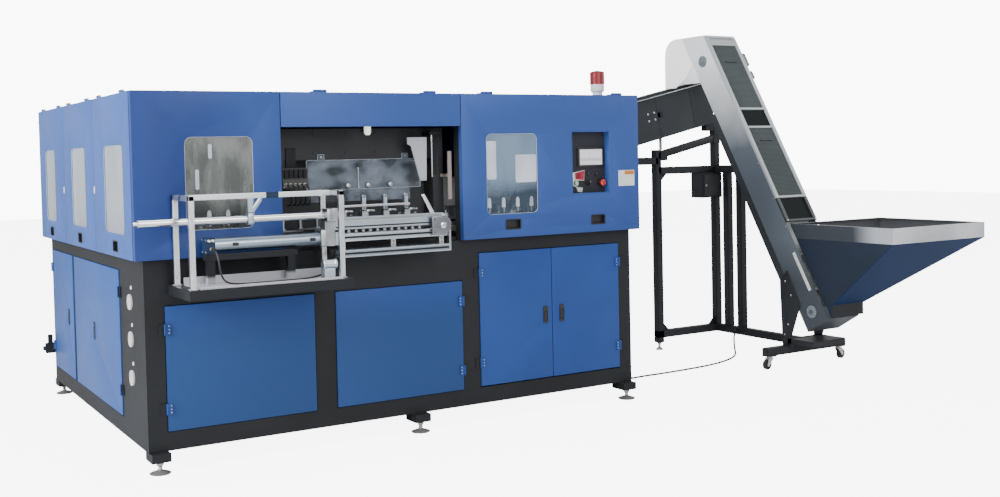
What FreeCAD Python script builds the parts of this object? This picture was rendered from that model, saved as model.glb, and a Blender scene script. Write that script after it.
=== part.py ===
import FreeCAD, Part
import math
import os
from FreeCAD import Placement, Rotation, Vector

# Stretch blow moulding machine with its preform elevator, in millimetres.
# Stations are measured from the hood's front left corner on the floor:
# X along the front to the right, Y into the machine, Z up.
# The finished part is moved so that its origin is the middle of its footprint.

# Hood and base cabinet
hood_length = 3270.0
hood_depth = 2630.0
hood_top = 2000.0
hood_foot = 1116.0
base_inset = 52.0
base_left = base_inset
base_right = hood_length - base_inset
base_front = base_inset
base_back = hood_depth - base_inset
beam = 100.0
slim_post = 42.0
beam_foot = 109.0
beam_top = beam_foot + beam - 1.0
lintel = 1035.0
deck = 20.0
fascia_foot = 875.0
post_one = (base_left, 153.0)
post_two = (994.0, 1115.0)
post_three = (1945.0, 2060.0)
post_four = (3124.0, base_right)
tube = 60.0
skin = 3.0
door_depth = 38.0
door_gap = 4.0
seam_left = 803.0
seam_right = 1933.0
header_foot = 1805.0
hinge_height = 2006.0
hinge_inset = 7.0
window_radius = 36.0
pane = 5.0

# Front bay: take-out unit, its guard frame and tray
shelf_top = 985.0
shelf_front = -343.0
guard_tube = 28.0
guard_left = 191.0
guard_right = 1010.0
guard_height = 1428.0
shaft_height = 1320.0
shaft_y = -150.0
shaft_radius = 20.0
barrel_height = 1190.0
barrel_y = -100.0
barrel_radius = 36.0
gripper_pitch = 132.0
gripper_first = 1112.0
gripper_count = 4

# Mandrel chain
pitch = 104.0
teeth = 12
wheel_radius = pitch / (2.0 * math.sin(math.pi / teeth))
straight_links = 20
chain_left = 440.0
chain_right = chain_left + straight_links * pitch
chain_front = 150.0
chain_middle = chain_front + wheel_radius
chain_back = chain_front + 2.0 * wheel_radius
link_height = 1218.0
link_thickness = 8.0
mandrel_top = 1300.0
mandrel_radius = 14.0

# Clamp
cavities = 4
cavity_first = chain_left + 7 * pitch
mould_stroke = 104.0
platen = 40.0
mould_depth = 67.8
tie_radius = 25.0
clamp_front = 215.0
clamp_back = 335.0
end_plate = 960.0
tie_x = (865.0, 1885.0)
tie_z = (1180.0, 1665.0)
running = 0.05

# Elevator, built upright and then leaned back
lean = 30.8
trough_left = 4800.0
trough_right = 5120.0
trough_depth = 226.0
trough_foot = Vector(0.0, -199.0, 400.0)
trough_top = 2550.0
sheet = 4.0
tail_station = 110.0
head_station = 2330.0
drum_radius = 60.0
drum_depth = 113.0
belt_thickness = 5.0
cleats = 16
cover_foot = 790.0
cover_bars = (1000.0, 1623.0, 1793.0, 2410.0)

# Hopper
hopper_left = 4830.0
hopper_right = 5801.0
hopper_front = -757.0
hopper_back = 182.0
rim_foot = 963.0
rim_top = 1070.0
mouth_height = 497.0
mouth_right = 5150.0
mouth_front = -215.0

# Sorter, built level and then tilted
sorter_slope = 0.225
sorter_start = Vector(3230.0, 0.0, 1439.0)
sorter_length = 1927.0
sorter_height = 341.0
sorter_front = 1300.0
sorter_back = 1560.0
roller_radius = 30.0

# Feeder stand
stand = 60.0
leg_x = 4529.0
rear_y = 1368.0
rail_x = 5160.0
stand_foot = 100.0
caster_radius = 37.5


def box(x0, x1, y0, y1, z0, z1):
    return Part.makeBox(x1 - x0, y1 - y0, z1 - z0, Vector(x0, y0, z0))


def rod(start, direction, length, radius):
    return Part.makeCylinder(radius, length, start, direction)


def hex_bar(start, direction, length, radius):
    """A six sided bar, for small parts that repeat."""
    turn = Rotation(Vector(0, 0, 1), direction)
    angles = [k * math.pi / 3 for k in range(6)]
    corners = [start + turn.multVec(Vector(radius * math.cos(a), radius * math.sin(a), 0)) for a in angles]
    return prism(corners, direction * length)


def join(shapes):
    whole = shapes[0].fuse(shapes[1:]) if len(shapes) > 1 else shapes[0]
    return whole.removeSplitter()


def separate(parts):
    """Bars and plates that butt against one another: each is cut by those before it."""
    solids = []
    for part in parts:
        for earlier in solids:
            if part.BoundBox.intersect(earlier.BoundBox):
                part = part.cut(earlier)
        solids.extend(part.Solids)
    return Part.Compound(solids)


def prism(points, extrusion):
    return Part.Face(Part.makePolygon(points + points[:1])).extrude(extrusion)


def round_prism(x0, x1, z0, z1, radius, y0, y1):
    """A block along Y whose section in XZ has rounded corners."""
    corners = ((x0, z0), (x1, z0), (x1, z1), (x0, z1))
    middle = (0.5 * (x0 + x1), 0.5 * (z0 + z1))
    edges = []
    starts = []
    for index, (x, z) in enumerate(corners):
        dx = radius if x < middle[0] else -radius
        dz = radius if z < middle[1] else -radius
        bend = 1.0 - math.sqrt(0.5)
        along_x = Vector(x + dx, y0, z)
        along_z = Vector(x, y0, z + dz)
        bulge = Vector(x + dx * bend, y0, z + dz * bend)
        first, last = (along_z, along_x) if index in (0, 2) else (along_x, along_z)
        starts.append((first, bulge, last))
    for index, (first, bulge, last) in enumerate(starts):
        edges.append(Part.Arc(first, bulge, last).toShape())
        following = starts[(index + 1) % 4][0]
        edges.append(Part.LineSegment(last, following).toShape())
    return Part.Face(Part.Wire(edges)).extrude(Vector(0, y1 - y0, 0))


def turned(profile, axis_point, axis):
    """A solid of revolution from radius and height pairs about a vertical axis, laid along the axis given."""
    points = [Vector(radius, 0, height) for radius, height in profile]
    solid = Part.Face(Part.makePolygon(points + points[:1])).revolve(Vector(), Vector(0, 0, 1), 360)
    solid.Placement = Placement(axis_point, Rotation(Vector(0, 0, 1), axis))
    return solid


def across(shape):
    """Turn a piece built for the front onto the left side: X becomes Y and Y becomes X."""
    mirrored = shape.mirror(Vector(), Vector(1, -1, 0))
    return mirrored


def leaned(shape):
    moved = shape.copy()
    moved.Placement = Placement(trough_foot, Rotation(Vector(1, 0, 0), -lean))
    return moved


def tilted(shape):
    angle = math.degrees(math.atan(sorter_slope))
    moved = shape.copy()
    moved.Placement = Placement(sorter_start, Rotation(Vector(0, 1, 0), -angle))
    return moved


def tray(x0, x1, z0, z1, front, depth):
    """A folded sheet panel: a flat face with returns, open at the back."""
    outer = box(x0, x1, front, front + depth, z0, z1)
    inner = box(x0 + skin, x1 - skin, front + skin, front + depth, z0 + skin, z1 - skin)
    return outer.cut(inner)


# Base cabinet
def base_frame():
    full = (beam_foot, hood_foot)
    left = (base_left, base_left + beam)
    right = (base_right - beam, base_right)
    parts = []
    for x0, x1 in (post_one, post_two, post_three, post_four):
        parts.append(box(x0, x1, base_front, base_front + beam, *full))
        depth = slim_post if x0 == base_left else beam
        parts.append(box(x0, x1, base_back - depth, base_back, *full))
    for y0, y1 in ((base_front, base_front + beam), (base_back - beam, base_back)):
        parts.append(box(base_left, base_right, y0, y1, beam_foot, beam_top))
        parts.append(box(base_left, base_right, y0, y1, lintel, hood_foot - deck))
    for x0, x1 in (left, post_two, post_three, right):
        parts.append(box(x0, x1, base_front, base_back, beam_foot, beam_top))
        parts.append(box(x0, x1, base_front, base_back, lintel, hood_foot - deck))
    parts.append(box(*left, 1800.0, 1850.0, *full))
    parts.append(box(*left, 535.0, 575.0, *full))
    plate = box(base_left, base_right, base_front, base_back, hood_foot - deck, hood_foot)
    parts.append(plate)
    parts.append(box(post_one[1], post_three[0], base_front, base_front + deck, fascia_foot, hood_foot))
    parts.append(box(post_one[1], post_four[0], base_back - deck, base_back, beam_top, lintel))
    parts.append(box(base_right - deck, base_right, base_front + beam, base_back - beam, beam_top, lintel))
    corner = box(base_left, base_left + deck, base_front + beam, 540.0, beam_top, lintel)
    for height in gauge_heights:
        corner = corner.cut(rod(Vector(base_left - 1, gauge_y, height), Vector(1, 0, 0), deck + 2, 40.3))
    parts.append(corner)
    for x, y in foot_places():
        inward = 1 if y < 1000 else -1
        y0, y1 = sorted((y - 40 * inward, y + 90 * inward))
        parts.append(box(x - 50, x + 50, y0, y1, 64.0, beam_foot))
    for x0, x1, y, heights in hinge_places:
        for height in heights:
            parts.append(box(x0, x1, y, base_front, height, height + 60))
    for height in (330.0, 880.0):
        parts.append(box(base_left - 6, base_left, 545.0, 568.5, height, height + 60))
        parts.append(box(base_left - 6, base_left, 2541.5, 2565.0, height, height + 60))
    frame = join(parts)
    return frame.cut(box(1117.0, 1563.0, 510.0, 594.0, hood_foot - deck - 1, hood_foot + 1))


gauge_heights = (464.0, 674.0, 876.0)
gauge_y = 340.0
hinge_places = (
    (120.0, 146.5, base_front - 6, (300.0, 720.0)),
    (1951.5, 1978.0, base_front - 6, (300.0, 720.0)),
    (2027.0, 2053.5, base_front - 6, (330.0, 880.0)),
    (3130.5, 3157.0, base_front - 6, (330.0, 880.0)),
)


def foot_places():
    return [(x, y) for x in (105.0, 1635.0, 3165.0) for y in (40.0, hood_depth - 40.0)]


def levelling_feet():
    profile = ((0, 0), (56, 0), (14, 22), (0, 22))
    feet = []
    for x, y in foot_places():
        pad = turned(profile, Vector(x, y, 0), Vector(0, 0, 1))
        stud = hex_bar(Vector(x, y, 20), Vector(0, 0, 1), 44, 12)
        nut = hex_bar(Vector(x, y, 44), Vector(0, 0, 1), 14, 20)
        feet.append(join([pad, stud, nut]))
    return Part.Compound(feet)


def pressure_gauges():
    dials = []
    for height in gauge_heights:
        profile = ((0, 0), (42.5, 0), (42.5, 10), (40, 10), (40, 58), (0, 58))
        start = Vector(base_left - 10, gauge_y, height)
        dials.append(turned(profile, start, Vector(1, 0, 0)))
    return Part.Compound(dials)


def lower_door(x0, x1, z0, z1, hinge_x, heights, lock_x):
    """A cabinet door hung on two barrel hinges, with a flush lock."""
    front = base_front - 6
    door = [tray(x0, x1, z0, z1, front, 30.0)]
    for height in heights:
        door.append(rod(Vector(hinge_x, front - 6, height), Vector(0, 0, 1), 60, 6))
        inner = (hinge_x, hinge_x + 30) if x0 >= hinge_x else (hinge_x - 30, hinge_x)
        door.append(box(*inner, front - 6, front, height, height + 60))
    if lock_x:
        door.append(box(lock_x - 17, lock_x + 17, front - 4, front + 12, 560, 668))
    return join(door)


# Hood
def hood_shell():
    """The roof with its hinge leaves, the rear panel, and the right end panel with the sorter's opening."""
    top = hood_top - 20
    parts = [box(40, hood_length, 40, hood_depth, top, hood_top)]
    parts.append(box(40, hood_length, hood_depth - 20, hood_depth, hood_foot, top))
    side = box(hood_length - 20, hood_length, 40, hood_depth - 20, hood_foot, top)
    parts.append(side.cut(box(hood_length - 30, hood_length + 10, 1290, 1570, 1430, 1812)))
    for x in (1000.0, 1690.0, 2080.0, 3060.0):
        parts.append(box(x, x + 80, 15.0, 60.0, hood_top, hood_top + 4))
    for door in range(3):
        for y in side_hinges(door):
            parts.append(box(15.0, 60.0, y, y + 80, hood_top, hood_top + 4))
    return separate(parts)


def hood_frame():
    """The square tubes that carry the hood's panels and doors."""
    inside = door_depth + door_gap
    posts_x = (inside, seam_left - 2 - tube, seam_right + 4, hood_length - 20 - tube)
    top = hood_top - 20
    sill = hood_foot + 40
    right = hood_length - 20
    back = hood_depth - 20
    parts = [box(inside, right, inside, inside + tube, top - tube, top)]
    parts.append(box(inside, inside + tube, inside, back, top - tube, top))
    parts.append(box(inside, inside + tube, inside, back, hood_foot, sill))
    parts.append(box(inside, posts_x[1], inside, inside + tube, hood_foot, sill))
    parts.append(box(posts_x[2], right, inside, inside + tube, hood_foot, sill))
    for x in posts_x:
        parts.append(box(x, x + tube, inside, inside + tube, hood_foot, top))
    for y in (847.0, 1723.0, back - tube):
        parts.append(box(inside, inside + tube, y, y + tube, hood_foot, top))
    return separate(parts)


def side_limits(door):
    first = door_depth + door_gap
    step = (hood_depth - first) / 3.0
    return first + door * step, first + (door + 1) * step - door_gap


def side_hinges(door):
    y0, y1 = side_limits(door)
    return y0 + 120, y1 - 200


def hood_door(x0, x1, z0, z1, windows, hinges):
    """A folded panel with glazed, rounded windows, hung from barrels along its top edge."""
    parts = [tray(x0, x1, z0, z1, 0.0, door_depth)]
    for x in hinges:
        parts.append(rod(Vector(x, hinge_inset, hinge_height), Vector(1, 0, 0), 80, 7))
        parts.append(box(x, x + 80, 3, 11, z1 - 4, hinge_height))
    door = join(parts)
    for wx0, wx1, wz0, wz1 in windows:
        door = door.cut(round_prism(wx0, wx1, wz0, wz1, window_radius, -1, skin + 1))
        door = join([door, box(wx0 - 12, wx1 + 12, skin, skin + pane, wz0 - 12, wz1 + 12)])
    return door


def cup_pull(x, z0, z1):
    """A finger cup set into a panel, 110 wide."""
    cup = box(x - 60, x + 60, skin, 28, z0 - 5, z1 + 5)
    hollow = prism([Vector(x - 52, skin - 1, z0 + 3), Vector(x - 52, 25, z0 + 12), Vector(x - 52, 25, z1 - 3),
                    Vector(x - 52, skin - 1, z1 - 3)], Vector(104, 0, 0))
    return cup.cut(hollow)


def with_cups(door, centres, z0, z1):
    for x in centres:
        door = door.cut(box(x - 52, x + 52, -1, skin + 1, z0 + 3, z1 - 3))
        door = join([door, cup_pull(x, z0, z1)])
    return door


def front_left_panel():
    window = (272.0, 640.0, 1265.0, 1755.0)
    return hood_door(2.0, seam_left - 2, 1120.0, 1998.0, (window,), ())


def header_panel():
    return hood_door(seam_left + 2, seam_right - 2, header_foot, 1998.0, (), (1000.0, 1690.0))


def front_right_door():
    window = (2105.0, 2470.0, 1265.0, 1755.0)
    door = hood_door(seam_right + 2, hood_length - 2, 1120.0, 1998.0, (window,), (2080.0, 3060.0))
    door = door.cut(box(2735.0, 3035.0, -1, skin + 1, 1368.0, 1765.0))
    return with_cups(door, (2288.0, 2932.0), 1168.0, 1230.0)


def side_lift_door(door):
    y0, y1 = side_limits(door)
    window = ((205.0, 630.0), (1140.0, 1524.0), (2080.0, 2400.0))[door]
    panel = hood_door(y0, y1, 1120.0, 1998.0, (window + (1250.0, 1722.0),), side_hinges(door))
    return across(with_cups(panel, (0.5 * (window[0] + window[1]),), 1146.0, 1208.0))


# Operator panel

control_height = 1434.0
stop_place = Vector(3000.0, 0, control_height)
start_place = Vector(2800.0, 0, control_height)
selector_place = Vector(2900.0, 0, control_height)
console_back = 60.0


def hmi_console():
    outer = box(2723.0, 3047.0, skin, console_back + 3, 1356.0, 1777.0)
    inner = box(2738.0, 3032.0, skin - 1, console_back, 1371.0, 1762.0)
    console = outer.cut(inner)
    for place, radius in ((stop_place, 11.0), (start_place, 11.0), (selector_place, 8.0)):
        hole = rod(Vector(place.x, console_back - 1, place.z), Vector(0, 1, 0), 5, radius + running)
        console = console.cut(hole)
    return console


def touch_screen():
    return box(2815.0, 3025.0, console_back - 10, console_back, 1535.0, 1665.0)


def emergency_stop():
    profile = ((0, 0), (22, 0), (22, 14), (11, 14), (11, 52), (0, 52))
    return turned(profile, Vector(stop_place.x, 24, stop_place.z), Vector(0, 1, 0))


def start_button():
    profile = ((0, 0), (14, 0), (14, 8), (11, 8), (11, 28), (0, 28))
    return turned(profile, Vector(start_place.x, 46, start_place.z), Vector(0, 1, 0))


def mode_selector():
    shaft = turned(((0, 0), (15, 0), (15, 8), (8, 8), (8, 30), (0, 30)),
                   Vector(selector_place.x, 46, selector_place.z), Vector(0, 1, 0))
    grip = box(selector_place.x - 4, selector_place.x + 4, 34, 46, selector_place.z - 14, selector_place.z + 14)
    return join([shaft, grip])


beacon_place = Vector(3010.0, 90.0, hood_top)


def beacon_base():
    profile = ((0, 0), (32, 0), (32, 64), (44, 64), (44, 72), (0, 72))
    return turned(profile, beacon_place, Vector(0, 0, 1))


def beacon_lens():
    place = beacon_place + Vector(0, 0, 72)
    return turned(((0, 0), (48, 0), (48, 78), (0, 91)), place, Vector(0, 0, 1))


# Take-out unit in the front bay
def discharge_shelf():
    parts = [box(178.0, 1060.0, shelf_front, base_front, 933.0, shelf_top)]
    parts.append(box(330.0, 830.0, barrel_y - 30, barrel_y + 30, 1110.0, 1145.0))
    for x in (340.0, 780.0):
        parts.append(box(x, x + 40, barrel_y - 20, barrel_y + 20, shelf_top, 1110.0))
    return join(parts)


def discharge_tray():
    sheet_plate = box(235.0, 1000.0, shelf_front + 5, -42.0, shelf_top, shelf_top + 2)
    lip = box(235.0, 1000.0, shelf_front + 5, shelf_front + 8, shelf_top, shelf_top + 14)
    rear = box(235.0, 1000.0, -45.0, -42.0, shelf_top, shelf_top + 40)
    tray_body = join([sheet_plate, lip, rear])
    for x in (340.0, 780.0):
        notch = box(x - 3, x + 43, barrel_y - 23, barrel_y + 23, shelf_top - 1, shelf_top + 5)
        tray_body = tray_body.cut(notch)
    return tray_body


def guard_frame():
    size = guard_tube
    top = guard_height + size
    front = -324.0
    back = -11.0
    parts = []
    left_posts = ((guard_left, front), (guard_left, back - size))
    right_posts = ((guard_right, -290.0), (guard_right, back - size))
    for x, y in left_posts + right_posts:
        parts.append(box(x, x + size, y, y + size, shelf_top, top))
        parts.append(box(x - 8, x + size + 8, y - 6, y + size + 6, shelf_top, shelf_top + 6))
    parts.append(box(guard_left, guard_left + size, front, back, guard_height, top))
    parts.append(box(guard_right, guard_right + size, -290.0, back, guard_height, top))
    parts.append(box(guard_left, guard_right + size, shaft_y - 24, shaft_y + 4, guard_height, top))
    bearing = box(535.0, 585.0, shaft_y - 30, shaft_y + 30, shaft_height - 35, shaft_height + 35)
    bearing = bearing.cut(rod(Vector(530, shaft_y, shaft_height), Vector(1, 0, 0), 60, shaft_radius + running))
    parts.append(bearing)
    parts.append(box(546.0, 574.0, shaft_y - 24, shaft_y + 4, shaft_height + 35, guard_height))
    return join(parts)


def takeout_cylinder():
    """The rodless air cylinder with its end caps and hose fittings, and a small actuator on the tray."""
    axis = Vector(1, 0, 0)
    parts = [rod(Vector(370, barrel_y, barrel_height), axis, 685, barrel_radius)]
    parts.append(box(330, 378, barrel_y - 40, barrel_y + 40, 1145, barrel_height + 38))
    parts.append(box(1048, 1070, barrel_y - 38, barrel_y + 38, 1150, barrel_height + 32))
    for x in (342.0, 362.0):
        parts.append(hex_bar(Vector(x, barrel_y - 40, 1215.0), Vector(0, -1, 0), 18, 7))
    parts.append(hex_bar(Vector(354.0, barrel_y - 40, 1172.0), Vector(0, -1, 0), 34, 9))
    parts.append(box(904, 964, -326, -272, shelf_top + 2, 1044))
    parts.append(rod(Vector(902, -299, 1066), axis, 78, 26))
    return join(parts)


def takeout_shaft():
    profile = ((0, -40), (11, -40), (11, -18), (shaft_radius, -18), (shaft_radius, 1060), (0, 1060))
    return turned(profile, Vector(0, shaft_y, shaft_height), Vector(1, 0, 0))


def gripper(x):
    """One neck gripper: a holder, a short cylinder above it and a forked jaw."""
    holder = box(x - 18, x + 18, -110, -60, 1300, 1330)
    cylinder = box(x - 11, x + 11, -100, -70, 1330, 1420)
    root = -95.0
    tip = -192.0
    jaw = [Vector(x - 16, root, 1330), Vector(x + 16, root, 1330), Vector(x + 28, -140, 1330),
           Vector(x + 28, tip + 12, 1330), Vector(x + 20, tip, 1330), Vector(x + 13, tip, 1330),
           Vector(x + 15, -160, 1330), Vector(x + 7, -146, 1330), Vector(x - 7, -146, 1330),
           Vector(x - 15, -160, 1330), Vector(x - 13, tip, 1330), Vector(x - 20, tip, 1330),
           Vector(x - 28, tip + 12, 1330), Vector(x - 28, -140, 1330)]
    return join([holder, cylinder, prism(jaw, Vector(0, 0, 8))])


def takeout_beam():
    """The carriage on the barrel, the clamp on the shaft and the beam with four grippers."""
    shuttle = box(962, 1042, barrel_y - 50, barrel_y + 45, 1148, 1240)
    shuttle = shuttle.cut(rod(Vector(950, barrel_y, barrel_height), Vector(1, 0, 0), 110, barrel_radius + 0.3))
    clamp = box(985, 1060, shaft_y - 35, shaft_y + 35, 1284, 1356)
    clamp = clamp.cut(rod(Vector(980, shaft_y, shaft_height), Vector(1, 0, 0), 90, shaft_radius))
    web = box(985, 1042, -150, -115, 1240, 1284)
    bar = box(1042, 1740, -110, -60, 1232, 1300)
    link = box(1000, 1060, -118, -60, 1240, 1300)
    nose = rod(Vector(1740, -85, 1236), Vector(0, 0, 1), 60, 40)
    parts = [shuttle, clamp, web, link, bar, nose]
    for index in range(gripper_count):
        parts.append(gripper(gripper_first + index * gripper_pitch))
    parts.append(box(gripper_first - 18, gripper_first + 3 * gripper_pitch + 18, -110, -100, 1354, 1366))
    return join(parts)


def transfer_rail():
    """The fixed rails under the take-out beam, bracketed to the machine's front."""
    parts = [box(1070, 1760, -120, -50, 1165, 1210)]
    parts.append(box(1070, 1760, -140, -60, 1078, 1120))
    parts.append(box(1760, 1772, -140, -50, 1078, 1215))
    for x in (1090.0, 1400.0, 1710.0):
        parts.append(box(x, x + 30, -110, -60, 1120, 1165))
        parts.append(box(x, x + 30, -60, base_front, 1080, 1108))
    return join(parts)


# Mandrel chain
def chain_points():
    """Pin places round the loop, one pitch apart."""
    points = []
    reach = wheel_radius
    for index in range(straight_links):
        points.append((chain_left + index * pitch, chain_front))
    for index in range(teeth // 2):
        turn = math.radians(-90.0 + index * 360.0 / teeth)
        points.append((chain_right + reach * math.cos(turn), chain_middle + reach * math.sin(turn)))
    for index in range(straight_links):
        points.append((chain_right - index * pitch, chain_back))
    for index in range(teeth // 2):
        turn = math.radians(90.0 + index * 360.0 / teeth)
        points.append((chain_left + reach * math.cos(turn), chain_middle + reach * math.sin(turn)))
    return points


def link(start, end, height):
    """A chamfered bar from pin to pin."""
    along = Vector(end[0] - start[0], end[1] - start[1], 0)
    along.normalize()
    side = Vector(-along.y, along.x, 0)
    reach = 18.0
    half = 16.0
    slim = 8.0
    first = Vector(start[0], start[1], height)
    last = Vector(end[0], end[1], height)
    outline = [first - along * reach - side * slim, first - along * slim - side * half,
               last + along * slim - side * half, last + along * reach - side * slim,
               last + along * reach + side * slim, last + along * slim + side * half,
               first - along * slim + side * half, first - along * reach + side * slim]
    return prism(outline, Vector(0, 0, link_thickness))


def cavity_places():
    return [cavity_first + index * pitch for index in range(cavities)]


def mandrel_chain():
    """Plates on two levels, turn about, with a mandrel on every pin. Those at the moulds are bored."""
    pins = chain_points()
    plates_top = link_height + 2 * link_thickness
    solids = []
    for index, start in enumerate(pins):
        end = pins[(index + 1) % len(pins)]
        level = index % 2
        solids.append(link(start, end, link_height + level * link_thickness))
    for x, y in pins:
        foot = Vector(x, y, plates_top)
        solids.append(hex_bar(foot, Vector(0, 0, 1), mandrel_top - plates_top, mandrel_radius))
    bores = [rod(Vector(x, chain_back, link_height - 1), Vector(0, 0, 1), 90, 8) for x in cavity_places()]
    chain = []
    for solid in solids:
        for bore in bores:
            if solid.BoundBox.intersect(bore.BoundBox):
                solid = solid.cut(bore)
        chain.append(solid)
    return Part.Compound(chain)


def preforms():
    """Neck down preforms on the mandrels that stand behind the two front windows."""
    profile = ((0, 0), (13, 0), (13, 46), (0, 61))
    shapes = []
    for index in (0, 1, 16, 17, 18, 19):
        place = Vector(chain_left + index * pitch, chain_front, mandrel_top)
        shapes.append(turned(profile, place, Vector(0, 0, 1)))
    return Part.Compound(shapes)


def chain_wheel(x):
    """A twelve tooth wheel on its upright shaft. Its teeth end just inside the mandrels."""
    thickness = 14.0
    foot = link_height + 2 * link_thickness + 2
    step = 2.0 * math.pi / teeth
    tip = wheel_radius - mandrel_radius - 0.5
    root = tip - 24
    outline = []
    for index in range(teeth):
        middle = (index + 0.5) * step
        for radius, offset in ((root, -0.44), (tip, -0.28), (tip, 0.28), (root, 0.44)):
            turn = middle + offset * step
            outline.append(Vector(x + radius * math.cos(turn), chain_middle + radius * math.sin(turn), foot))
    disc = prism(outline, Vector(0, 0, thickness))
    hub = rod(Vector(x, chain_middle, foot), Vector(0, 0, 1), 34, 50)
    shaft = rod(Vector(x, chain_middle, 1140), Vector(0, 0, 1), foot - 1140 + 1, 20)
    return join([disc, hub, shaft])


# Clamp, machine bed and blowing station

def machine_bed():
    """The bed plate with the chain tracks, wheel bearings, clamp frame, tie bars and stretch columns."""
    plate_top = hood_foot + 20
    track_foot = link_height - 12
    track = link_height - 0.3
    first = cavity_first - 12
    last = cavity_first + (cavities - 1) * pitch + 12
    rod_slot = box(first, last, chain_back - 10, chain_back + 10, hood_foot - 1, track + 1)
    parts = [box(200, 2760, 105, 1010, hood_foot, plate_top).cut(rod_slot)]
    for y in (chain_front, chain_back):
        parts.append(box(chain_left, chain_right, y - 30, y + 30, track_foot, track).cut(rod_slot))
        for x in (500.0, 1020.0, 1640.0, 2300.0):
            parts.append(box(x, x + 40, y - 20, y + 20, plate_top, track_foot))
    for x in (chain_left, chain_right):
        bearing = box(x - 45, x + 45, chain_middle - 45, chain_middle + 45, plate_top, link_height + 14)
        parts.append(bearing.cut(rod(Vector(x, chain_middle, plate_top), Vector(0, 0, 1), 120, 20 + running)))
    parts.append(box(830, 1920, clamp_front, clamp_back, 1620, 1800))
    for x in tie_x:
        parts.append(box(x - 35, x + 35, clamp_front, clamp_back, plate_top, 1620))
        for z in tie_z:
            parts.append(rod(Vector(x, clamp_back, z), Vector(0, 1, 0), end_plate - clamp_back, tie_radius))
    parts.append(box(820, 1930, end_plate, end_plate + 40, plate_top, 1710))
    for x in (1135.0, 1545.0):
        parts.append(rod(Vector(x, chain_back, 702), Vector(0, 0, 1), hood_foot - 702, 15))
    parts.append(box(1118, 1562, chain_back - 30, chain_back + 30, 690, 702))
    parts.extend(hanging_fittings())
    return Part.Compound([solid for part in parts for solid in part.Solids])


def hanging_fittings():
    """The tapering bracket, rod, dark post, bright strip and lamp on arms in front of the clamp's upper beam."""
    front = 112.0
    back = front + 8
    outline = ((1630, 1742), (1758, 1742), (1752, 1484), (1711, 1484), (1653, 1691), (1630, 1703))
    bracket = prism([Vector(x, front, z) for x, z in outline], Vector(0, back - front, 0))
    bracket_arm = box(1680, 1740, back, clamp_front, 1712, 1742)
    hanger = box(1780, 1840, front, clamp_front, 1755, 1775)
    bright_rod = rod(Vector(1797, front + 12, 1503), Vector(0, 0, 1), 1755 - 1503, 6)
    dark_post = box(1806, 1834, front + 28, front + 50, 1514, 1755)
    strip = box(1900, 1924, front, back, 1366, 1657)
    strip_arm = box(1902, 1918, back, clamp_front, 1500, 1520)
    lamp = turned(((0, 0), (12, 0), (20, 14), (20, 48), (0, 48)), Vector(1395, 160, 1760), Vector(0, 0, 1))
    lamp_arm = box(1385, 1405, 160, clamp_front, 1780, 1796)
    return [bracket, bracket_arm, hanger, bright_rod, dark_post, strip, strip_arm, join([lamp, lamp_arm])]


def half_mould(front):
    """A platen with a four cavity mould half. The front half looks towards +Y."""
    sense = 1.0 if front else -1.0
    face = chain_back - sense * mould_stroke
    inner = face - sense * mould_depth
    outer = inner - sense * platen
    y0, y1 = sorted((inner, outer))
    plate = box(825, 1925, y0, y1, 1140, 1702)
    for x in tie_x:
        for z in tie_z:
            plate = plate.cut(rod(Vector(x, y0 - 5, z), Vector(0, 1, 0), platen + 10, tie_radius + running))
    y0, y1 = sorted((face, inner))
    block = box(cavity_first - 70, cavity_first + 3 * pitch + 70, y0, y1, mandrel_top + 4, 1600)
    bottle = ((0, 0), (13, 0), (13, 22), (36, 60), (36, 240), (0, 240))
    for x in cavity_places():
        block = block.cut(turned(bottle, Vector(x, face, mandrel_top + 3), Vector(0, 0, 1)))
    return join([plate, block])


def stretch_rods():
    cross = box(1118, 1562, chain_back - 30, chain_back + 30, 703, 745)
    for x in (1135.0, 1545.0):
        cross = cross.cut(rod(Vector(x, chain_back, 700), Vector(0, 0, 1), 50, 15 + running))
    parts = [cross]
    for x in cavity_places():
        parts.append(hex_bar(Vector(x, chain_back, 744), Vector(0, 0, 1), 346, 6))
    return join(parts)


def oven():
    """A tunnel over the chain's rear run, with its heater tubes on the outer wall."""
    parts = [box(1980, 2480, chain_back + 70, chain_back + 148, hood_foot + 20, 1492)]
    parts.append(box(1980, 2480, chain_back - 82, chain_back + 148, 1480, 1492))
    parts.append(box(1980, 2480, chain_back - 82, chain_back - 70, 1310, 1492))
    for index in range(4):
        height = 1336 + 36 * index
        parts.append(hex_bar(Vector(2002, chain_back + 58, height), Vector(1, 0, 0), 456, 7))
    for x in (1994.0, 2458.0):
        parts.append(box(x, x + 8, chain_back + 48, chain_back + 70, 1318, 1462))
    return join(parts)


def clear_guard():
    """A clear sheet hung by two tabs from the clamp's upper beam."""
    sheet_part = box(1030, 1760, 210, 215, 1446, 1618)
    tabs = [box(x, x + 40, 210, 215, 1618, 1650) for x in (1100.0, 1640.0)]
    return join([sheet_part] + tabs)


# Elevator
def elevator_trough():
    front_top = (trough_top - trough_foot.z) / math.cos(math.radians(lean))
    back_top = front_top + trough_depth * math.tan(math.radians(lean))
    parts = []
    bore = 15.0 + running
    for x in (trough_left, trough_right - sheet):
        side = prism([Vector(x, 0, 0), Vector(x, trough_depth, 0), Vector(x, trough_depth, back_top),
                      Vector(x, 0, front_top)], Vector(sheet, 0, 0))
        for station in (tail_station, head_station):
            side = side.cut(rod(Vector(x - 1, drum_depth, station), Vector(1, 0, 0), sheet + 2, bore))
        parts.append(side)
    inner = (trough_left + sheet, trough_right - sheet)
    parts.append(box(*inner, trough_depth - sheet, trough_depth, 0, 2190))
    parts.append(box(*inner, 0, trough_depth, 0, sheet))
    parts.append(box(*inner, 0, sheet, 0, 100))
    return leaned(join(parts))


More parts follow.
